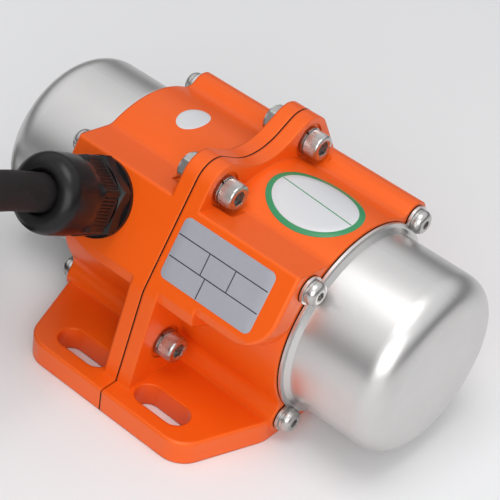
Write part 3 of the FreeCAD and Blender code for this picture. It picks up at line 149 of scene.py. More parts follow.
class GroupKit:
    """Builds each shared node group once, when it is first asked for."""

    @staticmethod
    def _open(name: str, inputs: dict[str, float], output: str) -> GroupEnds:
        """Start a group with float sockets.

        Args:
            name: the group's name.
            inputs: input names with their default values.
            output: the output's name.

        Returns:
            The sheet, the group's input node and its output node.
        """
        tree = bpy.data.node_groups.new(name, "ShaderNodeTree")
        for label, value in inputs.items():
            socket = tree.interface.new_socket(label, in_out="INPUT", socket_type="NodeSocketFloat")
            socket.default_value = value
        tree.interface.new_socket(output, in_out="OUTPUT", socket_type="NodeSocketFloat")
        sheet = NodeSheet(tree)
        return sheet, sheet.add("NodeGroupInput"), sheet.add("NodeGroupOutput")

    @cached_property
    def mottle(self) -> NodeTree:
        """Slow unevenness of tone over a surface, as a mask from 0 to 1."""
        sheet, given, result = self._open("mottle", {"Scale": 40.0, "Contrast": 1.0}, "Mask")
        noise = sheet.noise(given.outputs["Scale"], in_Detail=5.0, in_Roughness=0.6)
        centred = sheet.maths("SUBTRACT", noise, 0.5)
        spread = sheet.maths("MULTIPLY_ADD", centred, given.outputs["Contrast"], 0.5)
        clamp = sheet.add("ShaderNodeClamp")
        sheet.join(spread, clamp.inputs["Value"])
        sheet.join(clamp.outputs[0], result.inputs["Mask"])
        return sheet.tree

    @cached_property
    def peel(self) -> NodeTree:
        """Fine pebbling of sprayed paint, moulded plastic or rubber, as a height."""
        grit_fineness = 4.5
        sheet, given, result = self._open("peel", {"Scale": 500.0, "Grit": 0.3}, "Height")
        soft = sheet.noise(given.outputs["Scale"], in_Detail=2.0, in_Roughness=0.45)
        fine = sheet.maths("MULTIPLY", given.outputs["Scale"], grit_fineness)
        grit = sheet.noise(fine, in_Detail=3.0, in_Roughness=0.7)
        weighted = sheet.maths("MULTIPLY", grit, given.outputs["Grit"])
        sheet.join(sheet.maths("ADD", soft, weighted), result.inputs["Height"])
        return sheet.tree

    @cached_property
    def turned(self) -> NodeTree:
        """Grain left by turning or spinning round the motor's axis, as a mask."""
        streak_length = 2.0
        sheet, given, result = self._open("turned", {"Lines": 2500.0, "Axis Height": AXIS_HEIGHT * MM}, "Mask")
        place = sheet.add("ShaderNodeTexCoord")
        split = sheet.add("ShaderNodeSeparateXYZ")
        sheet.join(place.outputs["Object"], split.inputs[0])
        along, across = split.outputs["X"], split.outputs["Y"]
        up = sheet.maths("SUBTRACT", split.outputs["Z"], given.outputs["Axis Height"])
        square = sheet.maths("ADD", sheet.maths("MULTIPLY", across, across), sheet.maths("MULTIPLY", up, up))
        spot = sheet.add("ShaderNodeCombineXYZ")
        for axis, value, scale in (("X", along, given.outputs["Lines"]),
                                   ("Y", sheet.maths("SQRT", square), given.outputs["Lines"]),
                                   ("Z", sheet.maths("ARCTAN2", up, across), streak_length)):
            sheet.join(sheet.maths("MULTIPLY", value, scale), spot.inputs[axis])
        noise = sheet.add("ShaderNodeTexNoise", in_Scale=1.0, in_Detail=4.0, in_Roughness=0.65)
        sheet.join(spot.outputs[0], noise.inputs["Vector"])
        sheet.join(noise.outputs["Fac"], result.inputs["Mask"])
        return sheet.tree

    @cached_property
    def scuffs(self) -> NodeTree:
        """Sparse light rubbing marks, as a mask from 0 to 1."""
        first_mark, full_mark = 0.56, 0.78
        sheet, given, result = self._open("scuffs", {"Scale": 60.0, "Amount": 0.3}, "Mask")
        patches = sheet.noise(given.outputs["Scale"], in_Detail=6.0, in_Roughness=0.75, in_Distortion=0.6)
        ramp = sheet.add("ShaderNodeMapRange", in_From_Min=first_mark, in_From_Max=full_mark)
        sheet.join(patches, ramp.inputs["Value"])
        sheet.join(sheet.maths("MULTIPLY", ramp.outputs[0], given.outputs["Amount"]), result.inputs["Mask"])
        return sheet.tree


class Grain(Enum):
    """The kinds of surface relief that a finish can have."""

    PEEL = "peel"
    TURNED = "turned"


@dataclass(frozen=True)
class Finish:
    """One finish: colours, gloss and relief, all in the shader's own terms.

    The tone runs between colour and shade by a mottle mask; scuffs lift it towards rubbed.
    """

    name: str
    colour: Triple
    shade: Triple
    rubbed: Triple
    metallic: float = 0.0
    specular: float = 0.5
    sheen_tint: Triple = (1.0, 1.0, 1.0)
    gloss: Pair = (0.35, 0.45)
    coat: float = 0.0
    coat_roughness: float = 0.1
    tone_scale: float = 40.0
    contrast: float = 1.0
    scuff_scale: float = 70.0
    scuff_amount: float = 0.15
    grain: Grain = Grain.PEEL
    grain_scale: float = 500.0
    grit: float = 0.3
    relief_mm: float = 0.02
    edge_mm: float = 0.0


@dataclass
class FinishShop:
    """Turns finishes into materials and keeps them by name."""

    groups: GroupKit = field(default_factory=GroupKit)
    materials: dict[str, bpy.types.Material] = field(default_factory=dict)

    def material(self, finish: Finish) -> bpy.types.Material:
        """The material of a finish.

        Args:
            finish: what the surface is like.

        Returns:
            The material, made on first use.
        """
        if finish.name in self.materials:
            return self.materials[finish.name]
        material = bpy.data.materials.new(finish.name)
        material.use_nodes = True
        sheet = NodeSheet(material.node_tree)
        shader = material.node_tree.nodes["Principled BSDF"]
        for name, value in (("Metallic", finish.metallic), ("Specular IOR Level", finish.specular),
                            ("Specular Tint", (*finish.sheen_tint, 1.0)), ("Coat Weight", finish.coat),
                            ("Coat Roughness", finish.coat_roughness)):
            shader.inputs[name].default_value = value
        mottle = sheet.add("ShaderNodeGroup", node_tree=self.groups.mottle, in_Scale=finish.tone_scale,
                           in_Contrast=finish.contrast).outputs["Mask"]
        height = self._height(sheet, finish)
        sheet.join(self._tone(sheet, finish, mottle), shader.inputs["Base Color"])
        sheet.join(self._roughness(sheet, finish, mottle, height), shader.inputs["Roughness"])
        sheet.join(self._normal(sheet, finish, height), shader.inputs["Normal"])
        self.materials[finish.name] = material
        return material

    def _tone(self, sheet: NodeSheet, finish: Finish, mottle: Socket) -> Socket:
        """Triple between tone, shade and rubbed, by the mottle and the scuffs."""
        scuffs = sheet.add("ShaderNodeGroup", node_tree=self.groups.scuffs, in_Scale=finish.scuff_scale,
                           in_Amount=finish.scuff_amount)
        tone = sheet.add("ShaderNodeMix", data_type="RGBA")
        tone.inputs["A"].default_value = (*finish.colour, 1.0)
        tone.inputs["B"].default_value = (*finish.shade, 1.0)
        sheet.join(mottle, tone.inputs["Factor"])
        worn = sheet.add("ShaderNodeMix", data_type="RGBA")
        worn.inputs["B"].default_value = (*finish.rubbed, 1.0)
        sheet.join(scuffs.outputs["Mask"], worn.inputs["Factor"])
        sheet.join(tone.outputs["Result"], worn.inputs["A"])
        return worn.outputs["Result"]

    def _height(self, sheet: NodeSheet, finish: Finish) -> Socket:
        """Height of the finish's grain, before its depth."""
        if finish.grain is Grain.TURNED:
            grain = sheet.add("ShaderNodeGroup", node_tree=self.groups.turned, in_Lines=finish.grain_scale)
        else:
            grain = sheet.add("ShaderNodeGroup", node_tree=self.groups.peel, in_Scale=finish.grain_scale,
                              in_Grit=finish.grit)
        return grain.outputs[0]

    @staticmethod
    def _roughness(sheet: NodeSheet, finish: Finish, mottle: Socket, height: Socket) -> Socket:
        """Roughness between the two ends of the gloss, by mottle and grain."""
        mottle_share, grain_share = 0.6, 0.4
        blend = sheet.maths("ADD", sheet.maths("MULTIPLY", mottle, mottle_share),
                            sheet.maths("MULTIPLY", height, grain_share))
        gloss = sheet.add("ShaderNodeMapRange", in_To_Min=finish.gloss[0], in_To_Max=finish.gloss[1])
        sheet.join(blend, gloss.inputs["Value"])
        return gloss.outputs[0]

    @staticmethod
    def _normal(sheet: NodeSheet, finish: Finish, height: Socket) -> Socket:
        """Normal with the grain's relief and, where the finish asks for it, softened edges."""
        bump = sheet.add("ShaderNodeBump", in_Strength=1.0, in_Distance=finish.relief_mm * MM)
        sheet.join(height, bump.inputs["Height"])
        if finish.edge_mm > 0:
            rounded = sheet.add("ShaderNodeBevel", samples=8, in_Radius=finish.edge_mm * MM)
            sheet.join(rounded.outputs["Normal"], bump.inputs["Normal"])
        return bump.outputs["Normal"]


PAINT = Finish(
    "orange_paint", (0.86, 0.108, 0.004), (0.80, 0.088, 0.003), (0.92, 0.17, 0.018), specular=0.9,
    sheen_tint=(1.0, 0.58, 0.26), gloss=(0.34, 0.44), coat=0.2, coat_roughness=0.25, tone_scale=22.0,
    contrast=0.9, scuff_scale=45.0, scuff_amount=0.12, grain_scale=420.0, grit=0.15, relief_mm=0.03,
    edge_mm=1.1)
DRAWN_STEEL = Finish(
    "drawn_steel", (0.72, 0.706, 0.694), (0.62, 0.61, 0.60), (0.82, 0.806, 0.794), metallic=1.0, gloss=(0.30, 0.42),
    tone_scale=30.0, contrast=1.2, scuff_scale=50.0, scuff_amount=0.25, grain=Grain.TURNED, grain_scale=1500.0,
    relief_mm=0.004)
BRIGHT_STEEL = Finish(
    "bright_steel", (0.62, 0.61, 0.59), (0.46, 0.45, 0.44), (0.82, 0.81, 0.79), metallic=1.0, gloss=(0.20, 0.34),
    tone_scale=180.0, contrast=1.6, scuff_scale=220.0, scuff_amount=0.4, grain_scale=1400.0, grit=0.5,
    relief_mm=0.01)
SEAL_BLACK = Finish(
    "seal_black", (0.006, 0.005, 0.005), (0.009, 0.008, 0.008), (0.02, 0.018, 0.018), specular=0.08,
    gloss=(0.55, 0.7), tone_scale=120.0, grain_scale=900.0, relief_mm=0.02)
POLYAMIDE = Finish(
    "black_polyamide", (0.005, 0.0045, 0.005), (0.009, 0.008, 0.009), (0.03, 0.03, 0.034), specular=0.3,
    gloss=(0.22, 0.38), tone_scale=90.0, contrast=1.6, scuff_scale=120.0, scuff_amount=0.35, grain_scale=900.0,
    grit=0.4, relief_mm=0.02)
JACKET = Finish(
    "rubber_jacket", (0.012, 0.0105, 0.0105), (0.02, 0.017, 0.017), (0.05, 0.045, 0.044), specular=0.18,
    gloss=(0.48, 0.66), tone_scale=110.0, contrast=1.6, scuff_scale=150.0, scuff_amount=0.4,
    grain_scale=1000.0, grit=0.8, relief_mm=0.06)
BUSH = Finish(
    "sealing_bush", (0.018, 0.018, 0.018), (0.03, 0.03, 0.03), (0.05, 0.05, 0.05), gloss=(0.6, 0.75),
    grain_scale=800.0, relief_mm=0.02)
GROUND_STEEL = Finish(
    "ground_steel", (0.60, 0.60, 0.61), (0.50, 0.50, 0.51), (0.72, 0.72, 0.73), metallic=1.0, gloss=(0.14, 0.26),
    grain=Grain.TURNED, grain_scale=2600.0, relief_mm=0.002)
CAGE_BRASS = Finish(
    "cage_brass", (0.70, 0.47, 0.18), (0.58, 0.38, 0.14), (0.85, 0.66, 0.36), metallic=1.0, gloss=(0.25, 0.4),
    grain=Grain.TURNED, grain_scale=2000.0, relief_mm=0.003)
SHEET_STACK = Finish(
    "sheet_stack", (0.30, 0.31, 0.33), (0.20, 0.21, 0.23), (0.45, 0.45, 0.46), metallic=0.9, gloss=(0.4, 0.55),
    grain=Grain.TURNED, grain_scale=2000.0, relief_mm=0.02)
COPPER = Finish(
    "varnished_copper", (0.55, 0.17, 0.06), (0.42, 0.12, 0.04), (0.75, 0.34, 0.16), metallic=0.7, gloss=(0.25, 0.4),
    coat=0.5, grain_scale=1500.0, grit=0.6, relief_mm=0.2)
CAST_ALUMINIUM = Finish(
    "cast_aluminium", (0.62, 0.63, 0.64), (0.52, 0.53, 0.54), (0.75, 0.75, 0.76), metallic=1.0, gloss=(0.4, 0.55),
    grain_scale=900.0, relief_mm=0.03)
SAWN_IRON = Finish(
    "sawn_iron", (0.22, 0.22, 0.225), (0.15, 0.15, 0.155), (0.36, 0.36, 0.36), metallic=0.85, gloss=(0.4, 0.6),
    grain_scale=700.0, grit=0.6, relief_mm=0.04)
PLATE_FOIL = Finish(
    "plate_foil", (0.36, 0.36, 0.40), (0.32, 0.32, 0.36), (0.44, 0.44, 0.48), gloss=(0.34, 0.46), tone_scale=90.0,
    scuff_amount=0.1, grain_scale=1600.0, grit=0.5, relief_mm=0.006)
PLATE_INK = Finish(
    "plate_ink", (0.015, 0.016, 0.022), (0.025, 0.026, 0.032), (0.05, 0.05, 0.06), gloss=(0.4, 0.5),
    grain_scale=1500.0, relief_mm=0.003)
LABEL_WHITE = Finish(
    "label_white", (0.66, 0.665, 0.68), (0.62, 0.625, 0.645), (0.70, 0.70, 0.72), gloss=(0.28, 0.36),
    scuff_amount=0.08, grain_scale=900.0, relief_mm=0.006)
LABEL_GREEN = Finish(
    "label_green", (0.03, 0.27, 0.105), (0.024, 0.22, 0.085), (0.06, 0.34, 0.16), gloss=(0.28, 0.36),
    grain_scale=900.0, relief_mm=0.006)
CORE_BROWN = Finish(
    "core_brown", (0.14, 0.05, 0.02), (0.11, 0.04, 0.017), (0.2, 0.08, 0.04), gloss=(0.3, 0.42), grain_scale=1200.0,
    relief_mm=0.01)
FLOOR_PALE = Finish(
    "pale_floor", (0.84, 0.84, 0.845), (0.82, 0.82, 0.825), (0.86, 0.86, 0.86), gloss=(0.6, 0.7), tone_scale=6.0,
    scuff_amount=0.0, grain_scale=60.0, relief_mm=0.01)


# ---- mesh workshop
@dataclass(frozen=True)
class Ring:
    """One closed ring of a lofted piece: its height and its radius by angle."""

    height: float
    radius: RadiusRule

    def point(self, angle: float) -> Vector:
        """Point of the ring at an angle in radians."""
        radius = self.radius(angle) if callable(self.radius) else self.radius
        return Vector((radius * math.cos(angle), radius * math.sin(angle), self.height))


def off_flat(angle: float, turn: float) -> float:
    """How far a direction is from the middle of a hexagon's flat.

    Args:
        angle: the direction, in radians.
        turn: angle of a corner, in degrees.

    Returns:
        The difference, from -30 to 30 degrees.
    """
    return (math.degrees(angle) - turn) % 60.0 - 30.0


def hexagonal(flats: float, turn: float) -> AngleRule:
    """Radius rule of a hexagon.

    Args:
        flats: width across flats.
        turn: angle of a corner, in degrees.

    Returns:
        A function from angle to radius.
    """
    return lambda angle: flats / 2 / math.cos(math.radians(off_flat(angle, turn)))


def capped(rule: AngleRule, limit: float) -> AngleRule:
    """A radius rule that never passes a limit."""
    return lambda angle: min(rule(angle), limit)


def quarter_turn(steps: int, first: int = 1) -> Iterator[Pair]:
    """Cosine and sine of even steps through a quarter turn.

    Args:
        steps: steps in the quarter.
        first: the step to begin with.

    Yields:
        The pairs, the last one at 90 degrees.
    """
    for step in range(first, steps + 1):
        angle = math.radians(90 * step / steps)
        yield math.cos(angle), math.sin(angle)


def skinned(rows: Iterable[Iterable[Vector]], closed_ends: bool = True, peak: Optional[Vector] = None) -> Mesh:
    """Skin a series of closed rows of equally many points.

    Args:
        rows: the points, from one end to the other.
        closed_ends: close the first and last row with a face, or else join them to each other.
        peak: point that closes the last row with a fan instead of a face.

    Returns:
        The mesh, in metres.
    """
    bm = bmesh.new()
    loops = [[bm.verts.new(point * MM) for point in row] for row in rows]
    if not closed_ends:
        loops.append(loops[0])
    for one, other in zip(loops, loops[1:]):
        for step in range(len(one)):
            after = (step + 1) % len(one)
            bm.faces.new((one[step], one[after], other[after], other[step]))
    if closed_ends:
        bm.faces.new(list(reversed(loops[0])))
        last = loops[-1]
        if peak is None:
            bm.faces.new(last)
        else:
            top = bm.verts.new(peak * MM)
            for vertex, after in zip(last, last[1:] + last[:1]):
                bm.faces.new((vertex, after, top))
    return bm


@dataclass
class Workshop:
    """Makes meshes, dresses them and lets them ride on the housing."""

    finishes: FinishShop = field(default_factory=FinishShop)

    def finish_object(self, name: str, bm: Mesh, finish: Finish, slot: str,
                      place: Optional[Matrix] = None, smooth_angle: float = 35.0) -> bpy.types.Object:
        """Turn a bmesh into a dressed object on the housing.

        Args:
            name: the object's name.
            bm: its mesh, in metres; it is freed.
            finish: its finish.
            slot: not used.
            place: where it goes, if the mesh isn't in the motor's frame yet.
            smooth_angle: edges sharper than this stay sharp, in degrees.

        Returns:
            The object.
        """
        if place is not None:
            bm.transform(place)
        bmesh.ops.recalc_face_normals(bm, faces=bm.faces)
        mesh = bpy.data.meshes.new(name)
        bm.to_mesh(mesh)
        bm.free()
        mesh.shade_smooth()
        mesh.set_sharp_from_angle(angle=math.radians(smooth_angle))
        item = add_object(name, mesh)
        mesh.materials.append(self.finishes.material(finish))
        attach(item, "housing")
        LOG.info("made %s", name)
        return item

    def fastener(self, name: str, bm: Mesh, place: Matrix, node: str) -> None:
        """Steel piece that stands in for a CAD node.

        Args:
            name: the object's name.
            bm: its mesh, in metres; it is freed.
            place: where it goes.
            node: the CAD node that it replaces.
        """
        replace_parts(self.finish_object(name, bm, BRIGHT_STEEL, "fastener_steel", place), node)

    @staticmethod
    def loft(rings: Sequence[Ring], segments: int, closed_ends: bool = True) -> Mesh:
        """Skin a row of rings round the Z axis.

        Args:
            rings: from one end to the other.
            segments: points in a ring.
            closed_ends: as for skinned.

        Returns:
            The mesh, in metres.
        """
        angles = [2 * math.pi * step / segments for step in range(segments)]
        return skinned([[ring.point(angle) for angle in angles] for ring in rings], closed_ends)

    @staticmethod
    def slab(outline: Sequence[Vector], lift: LiftRule, low: float, high: float, edge: float, steps: int = 6) -> Mesh:
        """Thin plate over a surface.

        Args:
            outline: closed outline in the plate's own flat coordinates.
            lift: gives the point in the motor's frame for a flat point and a height.
            low: height of the underside.
            high: height of the face.
            edge: width of the softened rim.
            steps: rows of points from the rim to the middle.

        Returns:
            The mesh, in metres.
        """
        centre = sum(outline, Vector((0, 0))) / len(outline)
        inner = [point + (centre - point).normalized() * edge for point in outline]
        rows = [[lift(point, level) for point in outline] for level in (low, high - edge / 2)]
        rows += [[lift(point.lerp(centre, step / steps), high) for point in inner] for step in range(steps)]
        return skinned(rows, peak=lift(centre, high))

    def dress(self, nodes: Iterable[str], finish: Finish) -> None:
        """Give CAD nodes a finish.

        Args:
            nodes: names of nodes that keep their own mesh.
            finish: the finish for all their slots.
        """
        for name in nodes:
            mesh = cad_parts[name].data
            if not mesh.materials:
                mesh.materials.append(None)
            for index in range(len(mesh.materials)):
                mesh.materials[index] = self.finishes.material(finish)
            LOG.info("dressed %s in %s", name, finish.name)


def outline_rectangle(low: Vector, high: Vector, radius: float, steps: int = 8) -> list[Vector]:
    """Rounded rectangle.

    Args:
        low: lower left corner.
        high: upper right corner.
        radius: corner radius.
        steps: points in each quarter.

    Returns:
        The outline, anticlockwise.
    """
    corners = ((high.x - radius, high.y - radius, 0), (low.x + radius, high.y - radius, 90),
               (low.x + radius, low.y + radius, 180), (high.x - radius, low.y + radius, 270))
    points = []
    for x, y, start in corners:
        for step in range(steps + 1):
            angle = math.radians(start + 90 * step / steps)
            points.append(Vector((x + radius * math.cos(angle), y + radius * math.sin(angle))))
    return points


def outline_oval(centre: Vector, half_x: float, half_y: float, steps: int = 72) -> list[Vector]:
    """Ellipse as a closed outline.

    Args:
        centre: its middle.
        half_x: half its length.
        half_y: half its width.
        steps: points in it.

    Returns:
        The outline, anticlockwise.
    """
    angles = [2 * math.pi * step / steps for step in range(steps)]
    return [centre + Vector((half_x * math.cos(angle), half_y * math.sin(angle))) for angle in angles]


def along_x(x: float, y: float, z: float, flip: bool = False) -> Matrix:
    """Place whose own Z points along the motor.

    Args:
        x: position along the motor.
        y: position across.
        z: height.
        flip: point to the left instead.

    Returns:
        The placement matrix.
    """
    turn = Matrix.Rotation(math.radians(-90 if flip else 90), 4, "Y")
    return Matrix.Translation(mm(x, y, z)) @ turn


# ---- housing
@dataclass
class DressedNodes:
    """Sub-assembly whose CAD nodes keep their shape; the paired nodes are there once for each end."""

    shop: Workshop
    single: NodeTable = ()
    paired: NodeTable = ()

    def build(self) -> None:
        """Dress every node."""
        for finish, nodes in self.single:
            self.shop.dress(nodes, finish)
        for finish, nodes in self.paired:
            self.shop.dress([f"{node}_{side}" for node in nodes for side in ("right", "left")], finish)


@dataclass
class Housing(DressedNodes):
    """Cast halves, gasket and what the caps seal on."""

    single: NodeTable = ((SEAL_BLACK, ("flange_gasket",)),)
    paired: NodeTable = ((PAINT, ("housing",)), (SEAL_BLACK, ("cap_seal",)))


@dataclass
class EndCaps(DressedNodes):
    """Drawn steel cups over the eccentric weights."""

    paired: NodeTable = ((DRAWN_STEEL, ("end_cap",)),)


# ---- fasteners
@dataclass(frozen=True)
class HexSocket:
    """Countersunk hexagon socket in a screw's head, with the point that the drill left."""

    flats: float
    turn: float
    mouth: float
    rim_radius: float
    rim_depth: float
    bevel_depth: float
    depth: float
    point_radius: float
    point_depth: float

    def rings(self, top: float) -> list[Ring]:
        """Rings from the top of the head down into the socket."""
        sides = hexagonal(self.flats, self.turn)
        return [Ring(top, self.mouth), Ring(top - self.rim_depth, capped(sides, self.rim_radius)),
                Ring(top - self.bevel_depth, sides), Ring(top - self.depth, sides),
                Ring(top - self.depth - self.point_depth, self.point_radius)]


@dataclass(frozen=True)
class FlatWasher:
    """Plain washer whose rims are softened over a height and an inset."""

    bore: float
    radius: float
    thick: float
    inset: float
    soft: float

    def rings(self, low: float) -> list[Ring]:
        """Rings of the washer when its underside lies at a height."""
        top, rim = low + self.thick, self.radius - self.inset
        return [Ring(low, self.bore), Ring(low, rim), Ring(low + self.soft, self.radius),
                Ring(top - self.soft, self.radius), Ring(top, rim), Ring(top, self.bore)]


@dataclass
class FlangeFasteners:
    """Socket screws with knurled heads, split washers, plain washers and nuts of the middle flange.

    A profile's steps are heights with insets from the head's side (head_foot from its underside up,
    crown from its top down) or heights with radii (thread in one pitch, stem_end from the end back).
    The split washer's cut is at cut_at and cut_width wide, in degrees, and leans by cut_lean radians.
    """

    shop: Workshop
    places: Profile = ((-22.6, 79.3), (22.6, 79.3), (-44.0, 22.3), (44.0, 22.3))
    seat: float = 5.3
    shank_radius: float = 2.94
    head_radius: float = 5.0
    head_height: float = 6.0
    head_foot: Profile = ((0.0, 0.35), (0.35, 0.05))
    crown: Profile = ((0.85, 0.02), (0.45, 0.1), (0.12, 0.4), (0.0, 0.85))
    knurls: int = 54
    knurl_depth: float = 0.16
    knurl_over_foot: float = 0.45
    knurl_under_top: float = 0.95
    socket: HexSocket = HexSocket(flats=5.0, turn=30, mouth=3.15, rim_radius=2.86, rim_depth=0.3,
                                  bevel_depth=0.5, depth=3.2, point_radius=0.6, point_depth=0.7)
    split_thick: float = 1.6
    split_bore: float = 3.15
    split_rim: float = 5.25
    split_radius: float = 5.4
    split_free: float = 0.06
    split_soft: float = 0.2
    split_rise: float = 0.05
    split_margin: float = 0.02
    cut_at: float = 205.0
    cut_width: float = 9.0
    cut_lean: float = 0.07
    washer: FlatWasher = FlatWasher(bore=3.2, radius=6.0, thick=1.2, inset=0.1, soft=0.15)
    nut_flats: float = 10.0
    nut_corner: float = 90.0
    nut_height: float = 5.0
    nut_rim: float = 5.12
    nut_bevel_radius: float = 5.55
    nut_bevel_height: float = 0.45
    nut_side_height: float = 0.8
    nut_mouth: float = 3.45
    nut_sink: float = 0.4
    nut_bore: float = 3.03
    tip: float = 1.6
    pitch: float = 1.0
    thread: Profile = ((0.0, 2.98), (0.25, 2.98), (0.5, 2.45), (0.62, 2.45))
    thread_stop: float = 0.9
    stem_end: Profile = ((0.5, 2.9), (0.0, 2.3))

    def knurled(self, angle: float) -> float:
        """Radius of the knurled side of a head at an angle."""
        wave = abs(math.sin(self.knurls / 2 * angle))
        return self.head_radius - self.knurl_depth * (1 - wave) ** 1.5

    def head(self) -> Mesh:
        """Screw from its head's socket down to the flange."""
        low = self.seat + self.split_thick
        top = low + self.head_height
        rings = [Ring(0, self.shank_radius), Ring(low, self.shank_radius)]
        rings += [Ring(low + above, self.head_radius - inset) for above, inset in self.head_foot]
        rings += [Ring(low + self.knurl_over_foot, self.knurled), Ring(top - self.knurl_under_top, self.knurled)]
        rings += [Ring(top - below, self.head_radius - inset) for below, inset in self.crown]
        return self.shop.loft(rings + self.socket.rings(top), segments=216)

    def stem(self) -> Mesh:
        """The screw's threaded end, which shows past the nut."""
        end = self.seat + self.washer.thick + self.nut_height + self.tip
        rings = [Ring(turn * self.pitch + rise, radius)
                 for turn in range(math.ceil((end - self.thread_stop) / self.pitch)) for rise, radius in self.thread]
        return self.shop.loft(rings + [Ring(end - below, radius) for below, radius in self.stem_end], segments=48)

    def split_washer(self) -> Mesh:
        """Spring washer with its slanted cut."""
        steps = 72
        top = self.split_thick
        section = ((self.split_bore, self.split_free), (self.split_rim, self.split_free),
                   (self.split_radius, self.split_soft), (self.split_radius, top - self.split_soft),
                   (self.split_rim, top - self.split_free), (self.split_bore, top - self.split_free))
        cut = math.radians(self.cut_width)
        rows = []
        for step in range(steps + 1):
            angle = math.radians(self.cut_at) + cut / 2 + (2 * math.pi - cut) * step / steps
            rise = (step / steps - 0.5) * self.split_rise
            row = []
            for radius, height in section:
                turn = angle + self.cut_lean * height / top
                level = min(max(height + rise, self.split_margin), top - self.split_margin)
                row.append(Vector((radius * math.cos(turn), radius * math.sin(turn), level)))
            rows.append(row)
        return skinned(rows)

    def nut(self) -> Mesh:
        """Chamfered hexagon nut over its plain washer."""
        low = self.seat + self.washer.thick
        top = low + self.nut_height
        shape = hexagonal(self.nut_flats, self.nut_corner)
        bevel = capped(shape, self.nut_bevel_radius)
        rings = [Ring(low, self.nut_rim), Ring(low + self.nut_bevel_height, bevel),
                 Ring(low + self.nut_side_height, shape), Ring(top - self.nut_side_height, shape),
                 Ring(top - self.nut_bevel_height, bevel), Ring(top, self.nut_rim), Ring(top, self.nut_mouth),
                 Ring(top - self.nut_sink, self.nut_bore), Ring(low, self.nut_bore)]
        return self.shop.loft(rings, segments=96, closed_ends=False)

    def plain_washer(self) -> Mesh:
        """Plain washer under the nut."""
        return self.shop.loft(self.washer.rings(self.seat), segments=72, closed_ends=False)

    def build(self) -> None:
        """Make the four sets."""
        for index, (y, z) in enumerate(self.places, start=1):
            out, back, seated = along_x(0, y, z), along_x(0, y, z, flip=True), along_x(self.seat, y, z)
            for name, shape, place, node in (("screw", self.head, out, "flange_screws"),
                                             ("screw_end", self.stem, back, "flange_screws"),
                                             ("split_washer", self.split_washer, seated, "flange_lock_washers"),
                                             ("nut", self.nut, back, "flange_nuts"),
                                             ("plain_washer", self.plain_washer, back, "flange_flat_washers")):
                self.shop.fastener(f"flange_{name}_{index}", shape(), place, node)


@dataclass
class CapFasteners:
    """Domed socket screws on plain washers, four at each end cap."""

    shop: Workshop
    offset: float = 29.3
    face: float = 52.3
    washer: FlatWasher = FlatWasher(bore=2.3, radius=4.4, thick=1.2, inset=0.2, soft=0.2)
    shank_radius: float = 2.0
    shank_length: float = 4.0
    head_radius: float = 4.5
    head_height: float = 2.8
    head_inset: float = 0.25
    head_soft: float = 0.12
    head_side: float = 0.4
    crown_radius: float = 2.3
    socket: HexSocket = HexSocket(flats=3.0, turn=0, mouth=1.95, rim_radius=1.72, rim_depth=0.2,
                                  bevel_depth=0.3, depth=1.6, point_radius=0.3, point_depth=0.3)

    def dome(self) -> list[Ring]:
        """Rings of a domed head with its hexagon socket."""
        low = self.face + self.washer.thick
        side, rise = low + self.head_side, self.head_height - self.head_side
        rings = [Ring(low - self.shank_length, self.shank_radius), Ring(low, self.shank_radius),
                 Ring(low, self.head_radius - self.head_inset), Ring(low + self.head_soft, self.head_radius),
                 Ring(side, self.head_radius)]
        rings += [Ring(side + rise * sine, self.crown_radius + (self.head_radius - self.crown_radius) * cosine)
                  for cosine, sine in quarter_turn(8)]
        return rings + self.socket.rings(low + self.head_height)

    def build(self) -> None:
        """Make the screws and washers of both ends."""
        for side, flip in (("right", False), ("left", True)):
            for index, (across, up) in enumerate(((-1, -1), (-1, 1), (1, -1), (1, 1)), start=1):
                place = along_x(0, across * self.offset, AXIS_HEIGHT + up * self.offset, flip)
                bm = self.shop.loft(self.dome(), segments=72)
                self.shop.fastener(f"cap_screw_{side}_{index}", bm, place, f"cap_screws_{side}")
                bm = self.shop.loft(self.washer.rings(self.face), segments=60, closed_ends=False)
                self.shop.fastener(f"cap_washer_{side}_{index}", bm, place, f"cap_washers_{side}")


